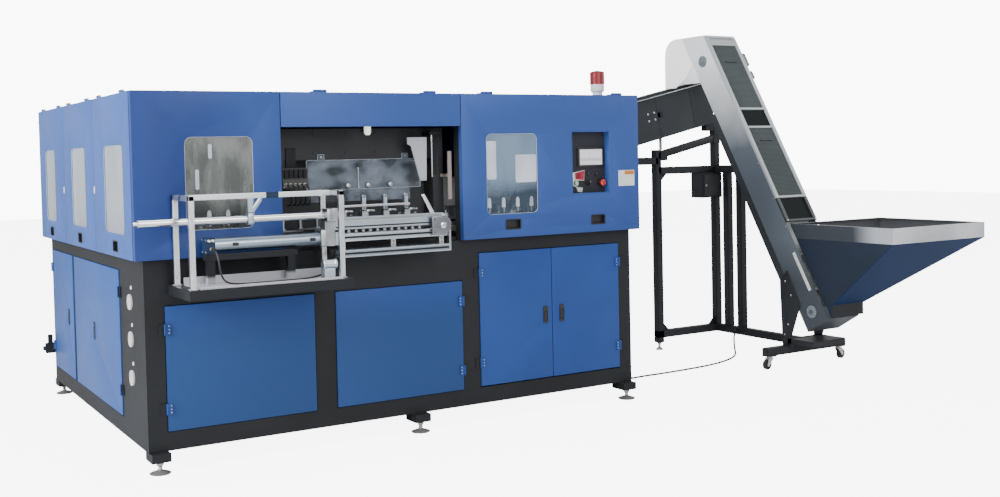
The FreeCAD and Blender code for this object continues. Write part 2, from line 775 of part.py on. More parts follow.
def elevator_cover():
    """The sloping cover: a frame with cross bars over recessed panels."""
    top = (trough_top - trough_foot.z) / math.cos(math.radians(lean)) - 14
    front = (-18.0, 0.0)
    parts = [box(trough_left, trough_left + 34, *front, cover_foot, top)]
    parts.append(box(trough_right - 34, trough_right, *front, cover_foot, top))
    for station in (cover_foot + 9,) + cover_bars + (top - 9,):
        parts.append(box(trough_left, trough_right, *front, station - 9, station + 9))
    parts.append(box(trough_left, trough_right, -8, -4, cover_foot, top))
    return leaned(join(parts))


def elevator_belt():
    """A flat belt round two drums, with upright cleats."""
    inner = drum_radius + 0.3
    outer = inner + belt_thickness
    x0 = trough_left + 35
    width = trough_right - trough_left - 70

    def loop(radius):
        length = head_station - tail_station
        run = box(x0, x0 + width, drum_depth - radius, drum_depth + radius, tail_station, head_station)
        tail = rod(Vector(x0, drum_depth, tail_station), Vector(1, 0, 0), width, radius)
        head = rod(Vector(x0, drum_depth, tail_station + length), Vector(1, 0, 0), width, radius)
        return join([run, tail, head])

    parts = [loop(outer).cut(loop(inner))]
    spacing = (head_station - tail_station) / (cleats / 2)
    for index in range(cleats // 2):
        station = tail_station + (index + 0.5) * spacing
        parts.append(box(x0, x0 + width, drum_depth - outer - 36, drum_depth - outer + 1, station, station + 5))
        parts.append(box(x0, x0 + width, drum_depth + outer - 1, drum_depth + outer + 36, station, station + 5))
    return leaned(join(parts))


def drum(station, drive):
    x0 = trough_left + 35
    width = trough_right - trough_left - 70
    core = rod(Vector(x0, drum_depth, station), Vector(1, 0, 0), width, drum_radius)
    right = 60.0 if drive else 12.0
    shaft = rod(Vector(trough_left - 12, drum_depth, station), Vector(1, 0, 0),
                trough_right - trough_left + 12 + right, 15)
    return leaned(join([core, shaft]))


def gear_motor():
    """The gear motor on the head drum's shaft."""
    axis = Vector(trough_right, drum_depth, head_station)
    gearbox = box(trough_right, trough_right + 124, drum_depth - 55, drum_depth + 55, head_station - 60,
                  head_station + 60)
    gearbox = gearbox.cut(rod(axis, Vector(1, 0, 0), 61, 15 + running))
    start = Vector(trough_right + 62, drum_depth, head_station - 60)
    body = rod(start, Vector(0, 0, -1), 210, 52)
    fan_cover = rod(start + Vector(0, 0, -160), Vector(0, 0, -1), 50, 58)
    terminals = box(start.x + 30, start.x + 84, drum_depth - 30, drum_depth + 30, start.z - 110, start.z - 40)
    return leaned(join([gearbox, body, fan_cover, terminals]))


def head_hood():
    """The curved chute over the head of the elevator, open below."""
    back = 1563.0
    bend = 123.0

    def profile(top, rear, radius, tail):
        arc_start = Vector(0, rear - radius, top)
        arc_end = Vector(0, rear, top - radius)
        turn = math.radians(45)
        bulge = Vector(0, rear - radius + radius * math.sin(turn), top - radius + radius * math.cos(turn))
        points = [arc_end] + tail + [arc_start]
        edges = [Part.Arc(arc_start, bulge, arc_end).toShape()]
        for first, last in zip(points[:-1], points[1:]):
            edges.append(Part.LineSegment(first, last).toShape())
        return Part.Face(Part.Wire(edges))

    tail = [Vector(0, back, 2150), Vector(0, 1430, 2150), Vector(0, 1300, 2226), Vector(0, 1217, 2330),
            Vector(0, 1348, trough_top)]
    outer = profile(trough_top, back, bend, tail).extrude(Vector(trough_right - trough_left, 0, 0))
    hollow_tail = [Vector(0, back - sheet, 2100), Vector(0, 1150, 2100), Vector(0, 1150, trough_top - sheet)]
    hollow = profile(trough_top - sheet, back - sheet, bend - sheet, hollow_tail)
    hollow = hollow.extrude(Vector(trough_right - trough_left - 2 * sheet, 0, 0))
    outer.translate(Vector(trough_left, 0, 0))
    hollow.translate(Vector(trough_left + sheet, 0, 0))
    lid = box(trough_left, trough_right, 1062, back - bend, trough_top, trough_top + sheet)
    return join([outer.cut(hollow), lid]).cut(sorter_envelope(2.0))


def trough_envelope(clearance):
    return leaned(box(trough_left - clearance, trough_right + clearance, -clearance, 600, -400, 3200))


def front_line(height):
    """Y of the trough's open front at a given height."""
    return trough_foot.y + (height - trough_foot.z) * math.tan(math.radians(lean))


def planar_solid(loops):
    return Part.Solid(Part.Shell([Part.Face(Part.makePolygon(loop + loop[:1])) for loop in loops]))


def hopper():
    """The bulk hopper of welded sheet: a four sided funnel under an upright rim, and a skirt at its mouth."""
    back_top = front_line(rim_foot) - 8
    back_mouth = front_line(mouth_height) - 8
    skirt_foot = 410.0
    flange = 24.0

    def rectangle(x0, x1, y0, y1, z):
        return [Vector(x0, y0, z), Vector(x1, y0, z), Vector(x1, y1, z), Vector(x0, y1, z)]

    def loops(inset):
        top = rectangle(hopper_left + inset, hopper_right - inset, hopper_front + inset, back_top - inset,
                        rim_foot)
        mouth = rectangle(hopper_left + inset, mouth_right - inset, mouth_front + inset, back_mouth - inset,
                          mouth_height)
        return top, mouth

    top, mouth = loops(0)
    inner_top, inner_mouth = loops(sheet)
    sheets = []
    for one in range(4):
        two = (one + 1) % 4
        sheets.append(planar_solid([
            [top[one], top[two], mouth[two], mouth[one]],
            [inner_top[one], inner_top[two], inner_mouth[two], inner_mouth[one]],
            [top[one], top[two], inner_top[two], inner_top[one]],
            [mouth[one], mouth[two], inner_mouth[two], inner_mouth[one]],
            [top[one], inner_top[one], inner_mouth[one], mouth[one]],
            [top[two], inner_top[two], inner_mouth[two], mouth[two]]]))
    wall_top = rim_top - sheet
    for width, z0, z1 in ((flange, wall_top, rim_top), (sheet, rim_foot, wall_top)):
        sheets.append(box(hopper_left, hopper_right, hopper_front, hopper_front + width, z0, z1))
        sheets.append(box(hopper_left, hopper_right, hopper_back - width, hopper_back, z0, z1))
        sheets.append(box(hopper_left, hopper_left + width, hopper_front, hopper_back, z0, z1))
        sheets.append(box(hopper_right - width, hopper_right, hopper_front, hopper_back, z0, z1))
    sheets.append(box(hopper_left, hopper_right, back_top - sheet, hopper_back, rim_foot, rim_foot + sheet))
    sheets.append(box(hopper_left, mouth_right, mouth_front, back_mouth, skirt_foot, skirt_foot + sheet))
    sheets.append(box(hopper_left, mouth_right, mouth_front, mouth_front + sheet, skirt_foot, mouth_height))
    for x in (hopper_left, mouth_right - sheet):
        sheets.append(box(x, x + sheet, mouth_front, back_mouth, skirt_foot, mouth_height))
    clear = trough_envelope(8)
    return separate([piece.cut(clear) for piece in sheets])


# Sorter, built along its own length
roller_places = (1385.0, 1475.0)


def sorter_box():
    """An open topped channel with flanges and a bulkhead at each end for the rollers."""
    body = box(0, sorter_length, sorter_front, sorter_back, 0, sorter_height)
    body = body.cut(box(-1, sorter_length - sheet, sorter_front + sheet, sorter_back - sheet, sheet,
                        sorter_height + 1))
    parts = [body]
    for station in (60.0, sorter_length - 60):
        bulkhead = box(station, station + 6, sorter_front + sheet, sorter_back - sheet, sheet, 190)
        for y in roller_places:
            bulkhead = bulkhead.cut(rod(Vector(station - 1, y, 150), Vector(1, 0, 0), 8, 12 + running))
        slot = box(station - 1, station + 7, 1423, 1437, 120, 200)
        parts.append(bulkhead.cut(slot))
    flange_top = sorter_height + sheet
    parts.append(box(125, sorter_length, sorter_back - sheet, sorter_back + 20, sorter_height, flange_top))
    parts.append(box(125, sorter_length, sorter_front - 20, sorter_front + sheet, sorter_height, flange_top))
    return tilted(join(parts))


def sorter_envelope(clearance):
    reach = 20 + clearance
    return tilted(box(-50, sorter_length + clearance, sorter_front - reach, sorter_back + reach, -clearance,
                      sorter_height + sheet + clearance))


def infeed_rails():
    """Two rails on a foot, which lead preforms from the sorter down to the mandrel chain."""
    rails = []
    start = Vector(3240, 1430, 1450)
    end = Vector(2640, 640, 1330)
    along = end - start
    level = Vector(along.x, along.y, 0)
    level.normalize()
    side = Vector(-level.y, level.x, 0)
    for offset in (-24.0, 16.0):
        first = start + side * offset
        corners = [first, first + side * 8, first + side * 8 + Vector(0, 0, 30), first + Vector(0, 0, 30)]
        rails.append(prism(corners, along))
    tie = prism([end + side * -24 - Vector(0, 0, 12), end + side * 24 - Vector(0, 0, 12),
                 end + side * 24 + Vector(0, 0, 14), end + side * -24 + Vector(0, 0, 14)], level * -12)
    foot = box(2632, 2656, 636, 660, hood_foot + 20, 1330)
    return join([tie, foot] + rails)


def sorter_roller(y):
    core = rod(Vector(70, y, 150), Vector(1, 0, 0), sorter_length - 60 - 74, roller_radius)
    shaft = rod(Vector(58, y, 150), Vector(1, 0, 0), sorter_length - 60 + 8 - 58, 12)
    return tilted(join([core, shaft]))


# Feeder stand
def upright(x, y, z0, z1):
    half = stand / 2
    return box(x - half, x + half, y - half, y + half, z0, z1)


def sloped_bar(x0, x1, y, z, slope):
    half = stand / 2
    rise = (x1 - x0) * slope
    corners = [Vector(x0, y - half, z), Vector(x1, y - half, z + rise), Vector(x1, y - half, z + rise + 56),
               Vector(x0, y - half, z + 56)]
    return prism(corners, Vector(0, stand, 0))


def feeder_stand():
    """The welded tubes under the elevator and the sorter, with the control box that they carry."""
    half = stand / 2
    top = 1440.0
    level = (stand_foot, stand_foot + stand)
    parts = [box(4580, 5400, 180, 240, *level)]
    parts.append(box(rail_x - half, rail_x + half, 240, rear_y + half, *level))
    parts.append(box(leg_x, rail_x, rear_y - half, rear_y + half, *level))
    parts.append(upright(leg_x, rear_y, 62, 1640))
    parts.append(turned(((0, 0), (26, 0), (30, 8), (14, 24), (14, 62), (0, 62)), Vector(leg_x, rear_y, 0),
                        Vector(0, 0, 1)))
    for y in (rear_y, 1216.0, 1059.0):
        parts.append(upright(rail_x, y, level[1], top))
    parts.append(box(rail_x - half, rail_x + half, 560, rear_y + half, top, top + stand))
    parts.append(box(leg_x, rail_x, rear_y - half, rear_y + half, top, top + stand))
    parts.append(box(trough_right, rail_x - half, 570, 670, top, top + stand))
    parts.append(box(hood_length, leg_x, rear_y - half, rear_y + half, 1520, 1520 + stand))
    parts.append(sloped_bar(leg_x, rail_x + half, rear_y, 1562, sorter_slope))
    parts.append(upright(rail_x, rear_y, top + stand, 1880))
    parts.append(box(5040, rail_x, rear_y - half, rear_y + half, 1790, 1880))
    parts.append(box(4565, 4585, rear_y - 10, rear_y + 10, 1600, 1760))
    for x in (trough_left - 10, trough_right):
        plate = prism([Vector(x, 180, 160), Vector(x, 240, 160), Vector(x, 262, 640), Vector(x, 190, 720),
                       Vector(x, 60, 480)], Vector(10, 0, 0))
        parts.append(plate)
    parts.append(box(trough_left - 10, trough_right + 10, -60, 180, 176, 216))
    parts.append(box(trough_left - 10, trough_right + 10, 150, 190, 150, 216))
    for x in (4625.0, 5350.0):
        parts.append(box(x - 40, x + 40, 170, 250, stand_foot - 4, stand_foot))
    parts.append(box(4920, rail_x - half, 1250, 1398, 1235, top))
    parts.append(box(4935, 5115, 1244, 1250, 1250, 1425))
    envelope = sorter_envelope(0.0)
    bores = []
    for x, trail in caster_places:
        bores.append(rod(Vector(x, 210, stand_foot - 5), Vector(0, 0, 1), 17, 11.5 + running))
    tubes = []
    for part in separate(parts).Solids:
        for hollow in [envelope] + bores:
            if part.BoundBox.intersect(hollow.BoundBox):
                part = part.cut(hollow)
        tubes.extend(part.Solids)
    return Part.Compound(tubes)


caster_places = ((4625.0, -25.0), (5350.0, 25.0))


def caster_fork(x, trail):
    axle_x = x + trail
    parts = [rod(Vector(x, 210, 84), Vector(0, 0, 1), 11.5, 22)]
    for y0 in (190.0, 226.0):
        outline = [Vector(x - 24, y0, 86), Vector(x + 24, y0, 86), Vector(axle_x + 14, y0, 30),
                   Vector(axle_x - 14, y0, 30)]
        parts.append(prism(outline, Vector(0, 4, 0)))
    parts.append(box(x - 24, x + 24, 190, 230, 80, 86))
    parts.append(rod(Vector(axle_x, 193, caster_radius), Vector(0, 1, 0), 34, 6))
    return join(parts)


def caster_wheel(x, trail):
    axle_x = x + trail
    tyre = rod(Vector(axle_x, 198, caster_radius), Vector(0, 1, 0), 24, caster_radius)
    return tyre.cut(rod(Vector(axle_x, 190, caster_radius), Vector(0, 1, 0), 40, 6 + running))


# Hose and cable
def cord(points, radius, name):
    """A tube of straight runs joined by arcs as large as their runs allow."""
    corners = [Vector(*point) for point in points]
    edges = []
    cursor = corners[0]
    for before, corner, after in zip(corners[:-2], corners[1:-1], corners[2:]):
        come = corner - before
        leave = after - corner
        half_turn = come.getAngle(leave) / 2.0
        trim = 0.45 * min(come.Length, leave.Length)
        bend = trim / math.tan(half_turn)
        print(name, "bend radius", round(bend, 1))
        entry = corner - come.normalize() * trim
        exit_point = corner + leave.normalize() * trim
        inward = exit_point + entry - corner * 2.0
        inward.normalize()
        bulge = corner + inward * (bend / math.cos(half_turn) - bend)
        edges.append(Part.LineSegment(cursor, entry).toShape())
        edges.append(Part.Arc(entry, bulge, exit_point).toShape())
        cursor = exit_point
    edges.append(Part.LineSegment(cursor, corners[-1]).toShape())
    path = Part.Wire(edges)
    start = (corners[1] - corners[0]).normalize()
    section = Part.Wire(Part.makeCircle(radius, corners[0], start))
    solid = path.makePipeShell([section], True, False)
    expected = math.pi * radius * radius * path.Length
    print(name, "length", round(path.Length, 1), "volume ratio", round(solid.Volume / expected, 4))
    return solid


hose_radius = 5.0
hose_route = (
    (354.0, -174.0, 1172.0),
    (356.0, -224.0, 1166.0),
    (360.0, -248.0, 1112.0),
    (366.0, -252.0, 1046.0),
    (392.0, -256.0, 1003.0),
    (456.0, -262.0, 993.2),
    (560.0, -258.0, 992.8),
    (690.0, -262.0, 993.2),
    (830.0, -250.0, 992.8),
    (930.0, -226.0, 1002.0),
    (990.0, -192.0, 1032.0),
    (1028.0, -152.0, 1064.0),
    (1070.0, -122.0, 1092.0),
)

cable_radius = 7.0
cable_route = (
    (base_right, 500.0, 160.0),
    (3298.0, 502.0, 158.0),
    (3386.0, 506.0, 112.0),
    (3452.0, 512.0, 46.0),
    (3548.0, 520.0, 8.0),
    (3700.0, 540.0, 7.6),
    (3880.0, 534.0, 8.0),
    (4070.0, 544.0, 7.6),
    (4260.0, 556.0, 8.0),
    (4440.0, 588.0, 7.6),
    (4600.0, 640.0, 8.0),
    (4740.0, 716.0, 7.6),
    (4860.0, 822.0, 8.0),
    (4950.0, 930.0, 12.0),
    (5020.0, 1014.0, 52.0),
    (5070.0, 1068.0, 108.0),
    (5130.0, 1108.0, 134.0),
)


def build():
    nodes = {}
    nodes["base_frame"] = base_frame()
    nodes["levelling_feet"] = levelling_feet()
    nodes["pressure_gauges"] = pressure_gauges()
    nodes["lower_door_left"] = lower_door(157, 990, 212, 871, 153, (300, 720), None)
    nodes["lower_door_middle"] = lower_door(1119, 1941, 212, 871, 1945, (300, 720), None)
    nodes["cabinet_door_left"] = lower_door(2064, 2590, 216, 1031, 2060, (330, 880), 2541)
    nodes["cabinet_door_right"] = lower_door(2594, 3120, 216, 1031, 3124, (330, 880), 2665)
    nodes["side_door_front"] = across(lower_door(579, 1796, 216, 1031, 575, (330, 880), 1238))
    nodes["side_door_rear"] = across(lower_door(1854, 2531, 216, 1031, 2535, (330, 880), 2009))
    nodes["hood_shell"] = hood_shell()
    nodes["hood_frame"] = hood_frame()
    nodes["front_left_panel"] = front_left_panel()
    nodes["header_panel"] = header_panel()
    nodes["front_right_door"] = front_right_door()
    for index in range(3):
        nodes["side_lift_door_%d" % (index + 1)] = side_lift_door(index)
    nodes["hmi_console"] = hmi_console()
    nodes["touch_screen"] = touch_screen()
    nodes["emergency_stop"] = emergency_stop()
    nodes["start_button"] = start_button()
    nodes["mode_selector"] = mode_selector()
    nodes["beacon_base"] = beacon_base()
    nodes["beacon_lens"] = beacon_lens()
    nodes["discharge_shelf"] = discharge_shelf()
    nodes["discharge_tray"] = discharge_tray()
    nodes["guard_frame"] = guard_frame()
    nodes["takeout_cylinder"] = takeout_cylinder()
    nodes["takeout_shaft"] = takeout_shaft()
    nodes["takeout_beam"] = takeout_beam()
    nodes["transfer_rail"] = transfer_rail()
    nodes["machine_bed"] = machine_bed()
    nodes["mandrel_chain"] = mandrel_chain()
    nodes["preforms"] = preforms()
    nodes["drive_chain_wheel"] = chain_wheel(chain_left)
    nodes["idler_chain_wheel"] = chain_wheel(chain_right)
    nodes["mould_front"] = half_mould(True)
    nodes["mould_rear"] = half_mould(False)
    nodes["stretch_rods"] = stretch_rods()
    nodes["oven"] = oven()
    nodes["clear_guard"] = clear_guard()
    nodes["elevator_trough"] = elevator_trough()
    nodes["elevator_cover"] = elevator_cover()
    nodes["elevator_belt"] = elevator_belt()
    nodes["tail_drum"] = drum(tail_station, False)
    nodes["head_drum"] = drum(head_station, True)
    nodes["gear_motor"] = gear_motor()
    nodes["head_hood"] = head_hood()
    nodes["hopper"] = hopper()
    nodes["sorter_box"] = sorter_box()
    nodes["infeed_rails"] = infeed_rails()
    nodes["sorter_roller_front"] = sorter_roller(roller_places[0])
    nodes["sorter_roller_rear"] = sorter_roller(roller_places[1])
    nodes["feeder_stand"] = feeder_stand()
    for name, (x, trail) in zip(("left", "right"), caster_places):
        nodes["caster_fork_" + name] = caster_fork(x, trail)
        nodes["caster_wheel_" + name] = caster_wheel(x, trail)
    nodes["air_hose"] = cord(hose_route, hose_radius, "air hose")
    nodes["power_cable"] = cord(cable_route, cable_radius, "power cable")
    return nodes


def main():
    os.makedirs("parts", exist_ok=True)
    nodes = build()
    bounds = FreeCAD.BoundBox()
    for name, shape in nodes.items():
        if name not in ("air_hose", "power_cable"):
            bounds.add(shape.optimalBoundingBox(False))
    middle = Vector(-bounds.Center.x, -bounds.Center.y, -bounds.ZMin)
    print("station bounds", bounds, "shift", middle)
    for name, shape in nodes.items():
        shape.translate(middle)
        litres = round(shape.Volume / 1e6, 2)
        print(name, "solids", len(shape.Solids), "valid", shape.isValid(), "litres", litres)
        shape.exportStep("parts/" + name + ".step")
    print("nodes", len(nodes))


main()
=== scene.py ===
import math

import bmesh
import bpy
from mathutils import Matrix, Vector


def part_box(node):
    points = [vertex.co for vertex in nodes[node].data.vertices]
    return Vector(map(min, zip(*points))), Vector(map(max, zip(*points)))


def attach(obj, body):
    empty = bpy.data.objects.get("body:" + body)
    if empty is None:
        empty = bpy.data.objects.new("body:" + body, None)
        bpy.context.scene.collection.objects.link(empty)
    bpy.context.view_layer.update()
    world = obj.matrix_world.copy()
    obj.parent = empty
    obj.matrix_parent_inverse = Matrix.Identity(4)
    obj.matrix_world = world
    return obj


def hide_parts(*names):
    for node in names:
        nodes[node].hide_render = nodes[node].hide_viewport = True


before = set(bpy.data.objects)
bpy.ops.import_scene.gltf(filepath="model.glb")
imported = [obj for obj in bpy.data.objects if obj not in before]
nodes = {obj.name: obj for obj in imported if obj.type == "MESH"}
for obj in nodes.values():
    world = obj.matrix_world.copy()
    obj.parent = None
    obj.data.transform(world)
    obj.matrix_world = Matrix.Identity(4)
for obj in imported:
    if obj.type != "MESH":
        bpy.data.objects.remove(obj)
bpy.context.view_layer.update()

# places are millimetres from the hood's front left corner on the floor: X right, Y into the machine, Z up
panelInset, metresPerMillimetre = 0.002, 0.001
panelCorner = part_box("front_left_panel")[0]
hoodCorner = Vector((panelCorner[0] - panelInset, panelCorner[1], 0.0))


def spot(x, y, z):
    return hoodCorner + Vector((x, y, z)) * metresPerMillimetre


def newObject(name, data):
    thing = bpy.data.objects.new(name, data)
    bpy.context.scene.collection.objects.link(thing)
    return thing


photoCamera = {"place": (-1445.1, -5983.5, 1625.4), "yaw": -31.317, "pitch": -1.924, "roll": -1.249,
               "lens": 41.34, "sensor": 36.0, "shiftY": -0.0548, "reach": 60.0}


def makeCamera(c):
    data = bpy.data.cameras.new("photoCamera")
    data.lens, data.sensor_width, data.shift_y, data.clip_end = c["lens"], c["sensor"], c["shiftY"], c["reach"]
    camera = newObject("photoCamera", data)
    yaw, pitch, roll = (math.radians(c[key]) for key in ("yaw", "pitch", "roll"))
    ahead = Vector((-math.sin(yaw) * math.cos(pitch), math.cos(yaw) * math.cos(pitch), math.sin(pitch)))
    level = Vector((math.cos(yaw), math.sin(yaw), 0.0))
    upward = level.cross(ahead)
    right = level * math.cos(roll) + upward * math.sin(roll)
    top = upward * math.cos(roll) - level * math.sin(roll)
    turn = Matrix((right, top, -ahead)).transposed()
    camera.matrix_world = Matrix.Translation(spot(*c["place"])) @ turn.to_4x4()
    bpy.context.scene.camera = camera


lights = [  # name, place, aim, size in metres, watts
    ("keyFromLeft", (-7000, -600, 4200), (300, 1100, 1000), 5.0, 1120),
    ("fillFront", (1800, -8200, 4600), (2400, 400, 900), 6.0, 420),
    ("topSoft", (2600, 600, 7200), (2600, 900, 0), 6.0, 260),
    ("rimRight", (9600, -1200, 4200), (4800, 400, 1500), 3.5, 160),
]
studio = {"worldOnDiffuse": 0.3, "worldInGloss": 0.8, "worldSeen": 10.0, "floorSeen": 6.6, "floorSize": 60.0}
white = (1.0, 1.0, 1.0, 1.0)


def makeLights():
    for name, place, aim, size, watts in lights:
        data = bpy.data.lights.new(name, "AREA")
        data.shape, data.size, data.energy = "DISK", size, watts
        here, there = spot(*place), spot(*aim)
        turn = (there - here).to_track_quat("-Z", "Y").to_matrix().to_4x4()
        newObject(name, data).matrix_world = Matrix.Translation(here) @ turn
    world = bpy.data.worlds.new("studio")
    world.use_nodes = True
    tree = world.node_tree
    backdrop = tree.nodes["Background"]
    backdrop.inputs["Color"].default_value = white
    rays = tree.nodes.new("ShaderNodeLightPath")
    strength = studio["worldOnDiffuse"]
    last = tree.nodes.new("ShaderNodeMath")
    last.inputs[0].default_value = strength
    last.inputs[1].default_value = 0.0
    for output, value in (("Is Glossy Ray", studio["worldInGloss"]), ("Is Camera Ray", studio["worldSeen"])):
        step = tree.nodes.new("ShaderNodeMath")
        step.operation = "MULTIPLY_ADD"
        step.inputs[1].default_value = value - strength
        tree.links.new(rays.outputs[output], step.inputs[0])
        tree.links.new(last.outputs[0], step.inputs[2])
        last = step
    tree.links.new(last.outputs[0], backdrop.inputs["Strength"])
    bpy.context.scene.world = world


# materials: patterns read Object coordinates, sizes in metres

def addNode(material, kind, settings=None, **sockets):
    node = material.node_tree.nodes.new(kind)
    for key, value in (settings or {}).items():
        setattr(node, key, value)
    for key, value in sockets.items():
        node.inputs[key].default_value = value
    return node


def wire(material, source, outName, target, inName):
    material.node_tree.links.new(source.outputs[outName], target.inputs[inName])


def shaderOf(material):
    return material.node_tree.nodes["Principled BSDF"]


def noiseOn(material, scale, detail=3.0, stretch=(1.0, 1.0, 1.0)):
    mapping = addNode(material, "ShaderNodeMapping", Scale=stretch)
    wire(material, addNode(material, "ShaderNodeTexCoord"), "Object", mapping, "Vector")
    noise = addNode(material, "ShaderNodeTexNoise", Scale=scale, Detail=detail)
    wire(material, mapping, "Vector", noise, "Vector")
    return noise


def spread(material, source, outName, low, high, fromLow=0.35, fromHigh=0.65):
    change = addNode(material, "ShaderNodeMapRange")
    for key, value in (("From Min", fromLow), ("From Max", fromHigh), ("To Min", low), ("To Max", high)):
        change.inputs[key].default_value = value
    wire(material, source, outName, change, "Value")
    return change


def blendColours(material, factor, outName, first, second):
    mix = addNode(material, "ShaderNodeMix", {"data_type": "RGBA"})
    mix.inputs[6].default_value = (*first, 1.0)
    mix.inputs[7].default_value = (*second, 1.0)
    wire(material, factor, outName, mix, 0)
    return mix


def mottled(material, noise, dark, light):  # the base colour wanders from dark to light
    tint = blendColours(material, spread(material, noise, "Fac", 0.0, 1.0), "Result", dark, light)
    wire(material, tint, "Result", shaderOf(material), "Base Color")


def roughened(material, noise, low, high):
    wire(material, spread(material, noise, "Fac", low, high), "Result", shaderOf(material), "Roughness")


def bumpFrom(material, source, height, strength):
    bump = addNode(material, "ShaderNodeBump", Strength=strength, Distance=height)
    wire(material, source, "Fac", bump, "Height")
    wire(material, bump, "Normal", shaderOf(material), "Normal")


def scaled(colour, factor):
    return tuple(min(1.0, channel * factor) for channel in colour)


def lit(material, colour, light):
    shaderOf(material).inputs["Emission Color"].default_value = (*colour[:3], 1.0)
    shaderOf(material).inputs["Emission Strength"].default_value = light


def finish(name, colour, metallic=0.0, roughness=0.5, specular=0.5):
    material = bpy.data.materials.new(name)
    material.use_nodes = True
    values = {"Base Color": (*colour, 1.0), "Metallic": metallic, "Roughness": roughness,
              "Specular IOR Level": specular}
    for socket, value in values.items():
        shaderOf(material).inputs[socket].default_value = value
    return material


def paint(name, colour, roughness=0.42, grain=900.0, relief=0.00025, drift=0.07, specular=0.22):
    material = finish(name, colour, roughness=roughness, specular=specular)
    wander = noiseOn(material, scale=1.7, detail=4.0)
    mottled(material, wander, scaled(colour, 1.0 - drift), scaled(colour, 1.0 + drift))
    peel = noiseOn(material, grain, detail=2.0)
    roughened(material, peel, roughness - 0.06, roughness + 0.08)
    bumpFrom(material, peel, relief, strength=0.35)
    return material


def cloudyRise(material, axis, foot, head, cloud):  # 0 to 1 along an axis, broken up by a broad noise
    split = addNode(material, "ShaderNodeSeparateXYZ")
    wire(material, addNode(material, "ShaderNodeTexCoord"), "Object", split, "Vector")
    rise = spread(material, split, axis, 0.0, 1.0, foot, head)
    rise.clamp = False
    drift = spread(material, noiseOn(material, scale=2.3, detail=4.0), "Fac", -cloud, cloud, 0.3, 0.7)
    total = addNode(material, "ShaderNodeMath", {"operation": "ADD", "use_clamp": True})
    wire(material, rise, "Result", total, 0)
    wire(material, drift, "Result", total, 1)
    return total


def fade(name, axis, low, high, foot, head, cloud=0.25):  # from one colour, or the pattern there, to another
    material = skins[name]
    colourSocket = shaderOf(material).inputs["Base Color"]
    tint = blendColours(material, cloudyRise(material, axis, foot, head, cloud), "Value", low or high, high)
    if not low:
        material.node_tree.links.new(colourSocket.links[0].from_socket, tint.inputs[6])
    material.node_tree.links.new(tint.outputs["Result"], colourSocket)


def metal(name, colour, roughness=0.3, brush=(4.0, 4.0, 260.0), depth=0.00012, cloud=0.1):
    material = finish(name, colour, metallic=1.0, roughness=roughness)
    mottled(material, noiseOn(material, scale=5.0), scaled(colour, 1.0 - cloud), colour)
    brushed = noiseOn(material, scale=9.0, detail=5.0, stretch=brush)
    roughened(material, brushed, roughness - 0.08, roughness + 0.12)
    bumpFrom(material, brushed, depth, strength=0.3)
    return material


def plastic(name, colour, roughness=0.4, grain=1400.0, relief=0.0001, drift=0.05):
    material = finish(name, colour, roughness=roughness)
    mottled(material, noiseOn(material, scale=60.0), scaled(colour, 1.0 - drift), scaled(colour, 1.0 + drift))
    bumpFrom(material, noiseOn(material, grain, detail=2.0), relief, strength=0.3)
    return material


def clearSheet(name, colour, low, high, scale, stretch=(1.0, 1.0, 1.0), clearBelow=None):
    material = finish(name, colour, roughness=0.12)
    haze = noiseOn(material, scale, 5.0, stretch)
    seen, socket = spread(material, haze, "Fac", low, high, 0.38, 0.64), "Result"
    if clearBelow:  # the haze thins towards the sheet's foot, but never goes
        rise = cloudyRise(material, "Z", *clearBelow, cloud=0.2)
        fewer = addNode(material, "ShaderNodeMath", {"operation": "MULTIPLY"})
        wire(material, seen, "Result", fewer, 0)
        wire(material, rise, "Value", fewer, 1)
        seen, socket = addNode(material, "ShaderNodeMath", {"operation": "MAXIMUM"}), "Value"
        seen.inputs[1].default_value = 0.12
        wire(material, fewer, "Value", seen, 0)
    wire(material, seen, socket, shaderOf(material), "Alpha")
    bumpFrom(material, noiseOn(material, scale=40.0, detail=2.0), height=0.0003, strength=0.15)
    return material


def glow(name, colour, light):
    material = finish(name, colour, roughness=0.25)
    lit(material, colour, light)
    bumpFrom(material, noiseOn(material, scale=700.0, detail=2.0), height=0.00005, strength=0.2)
    return material


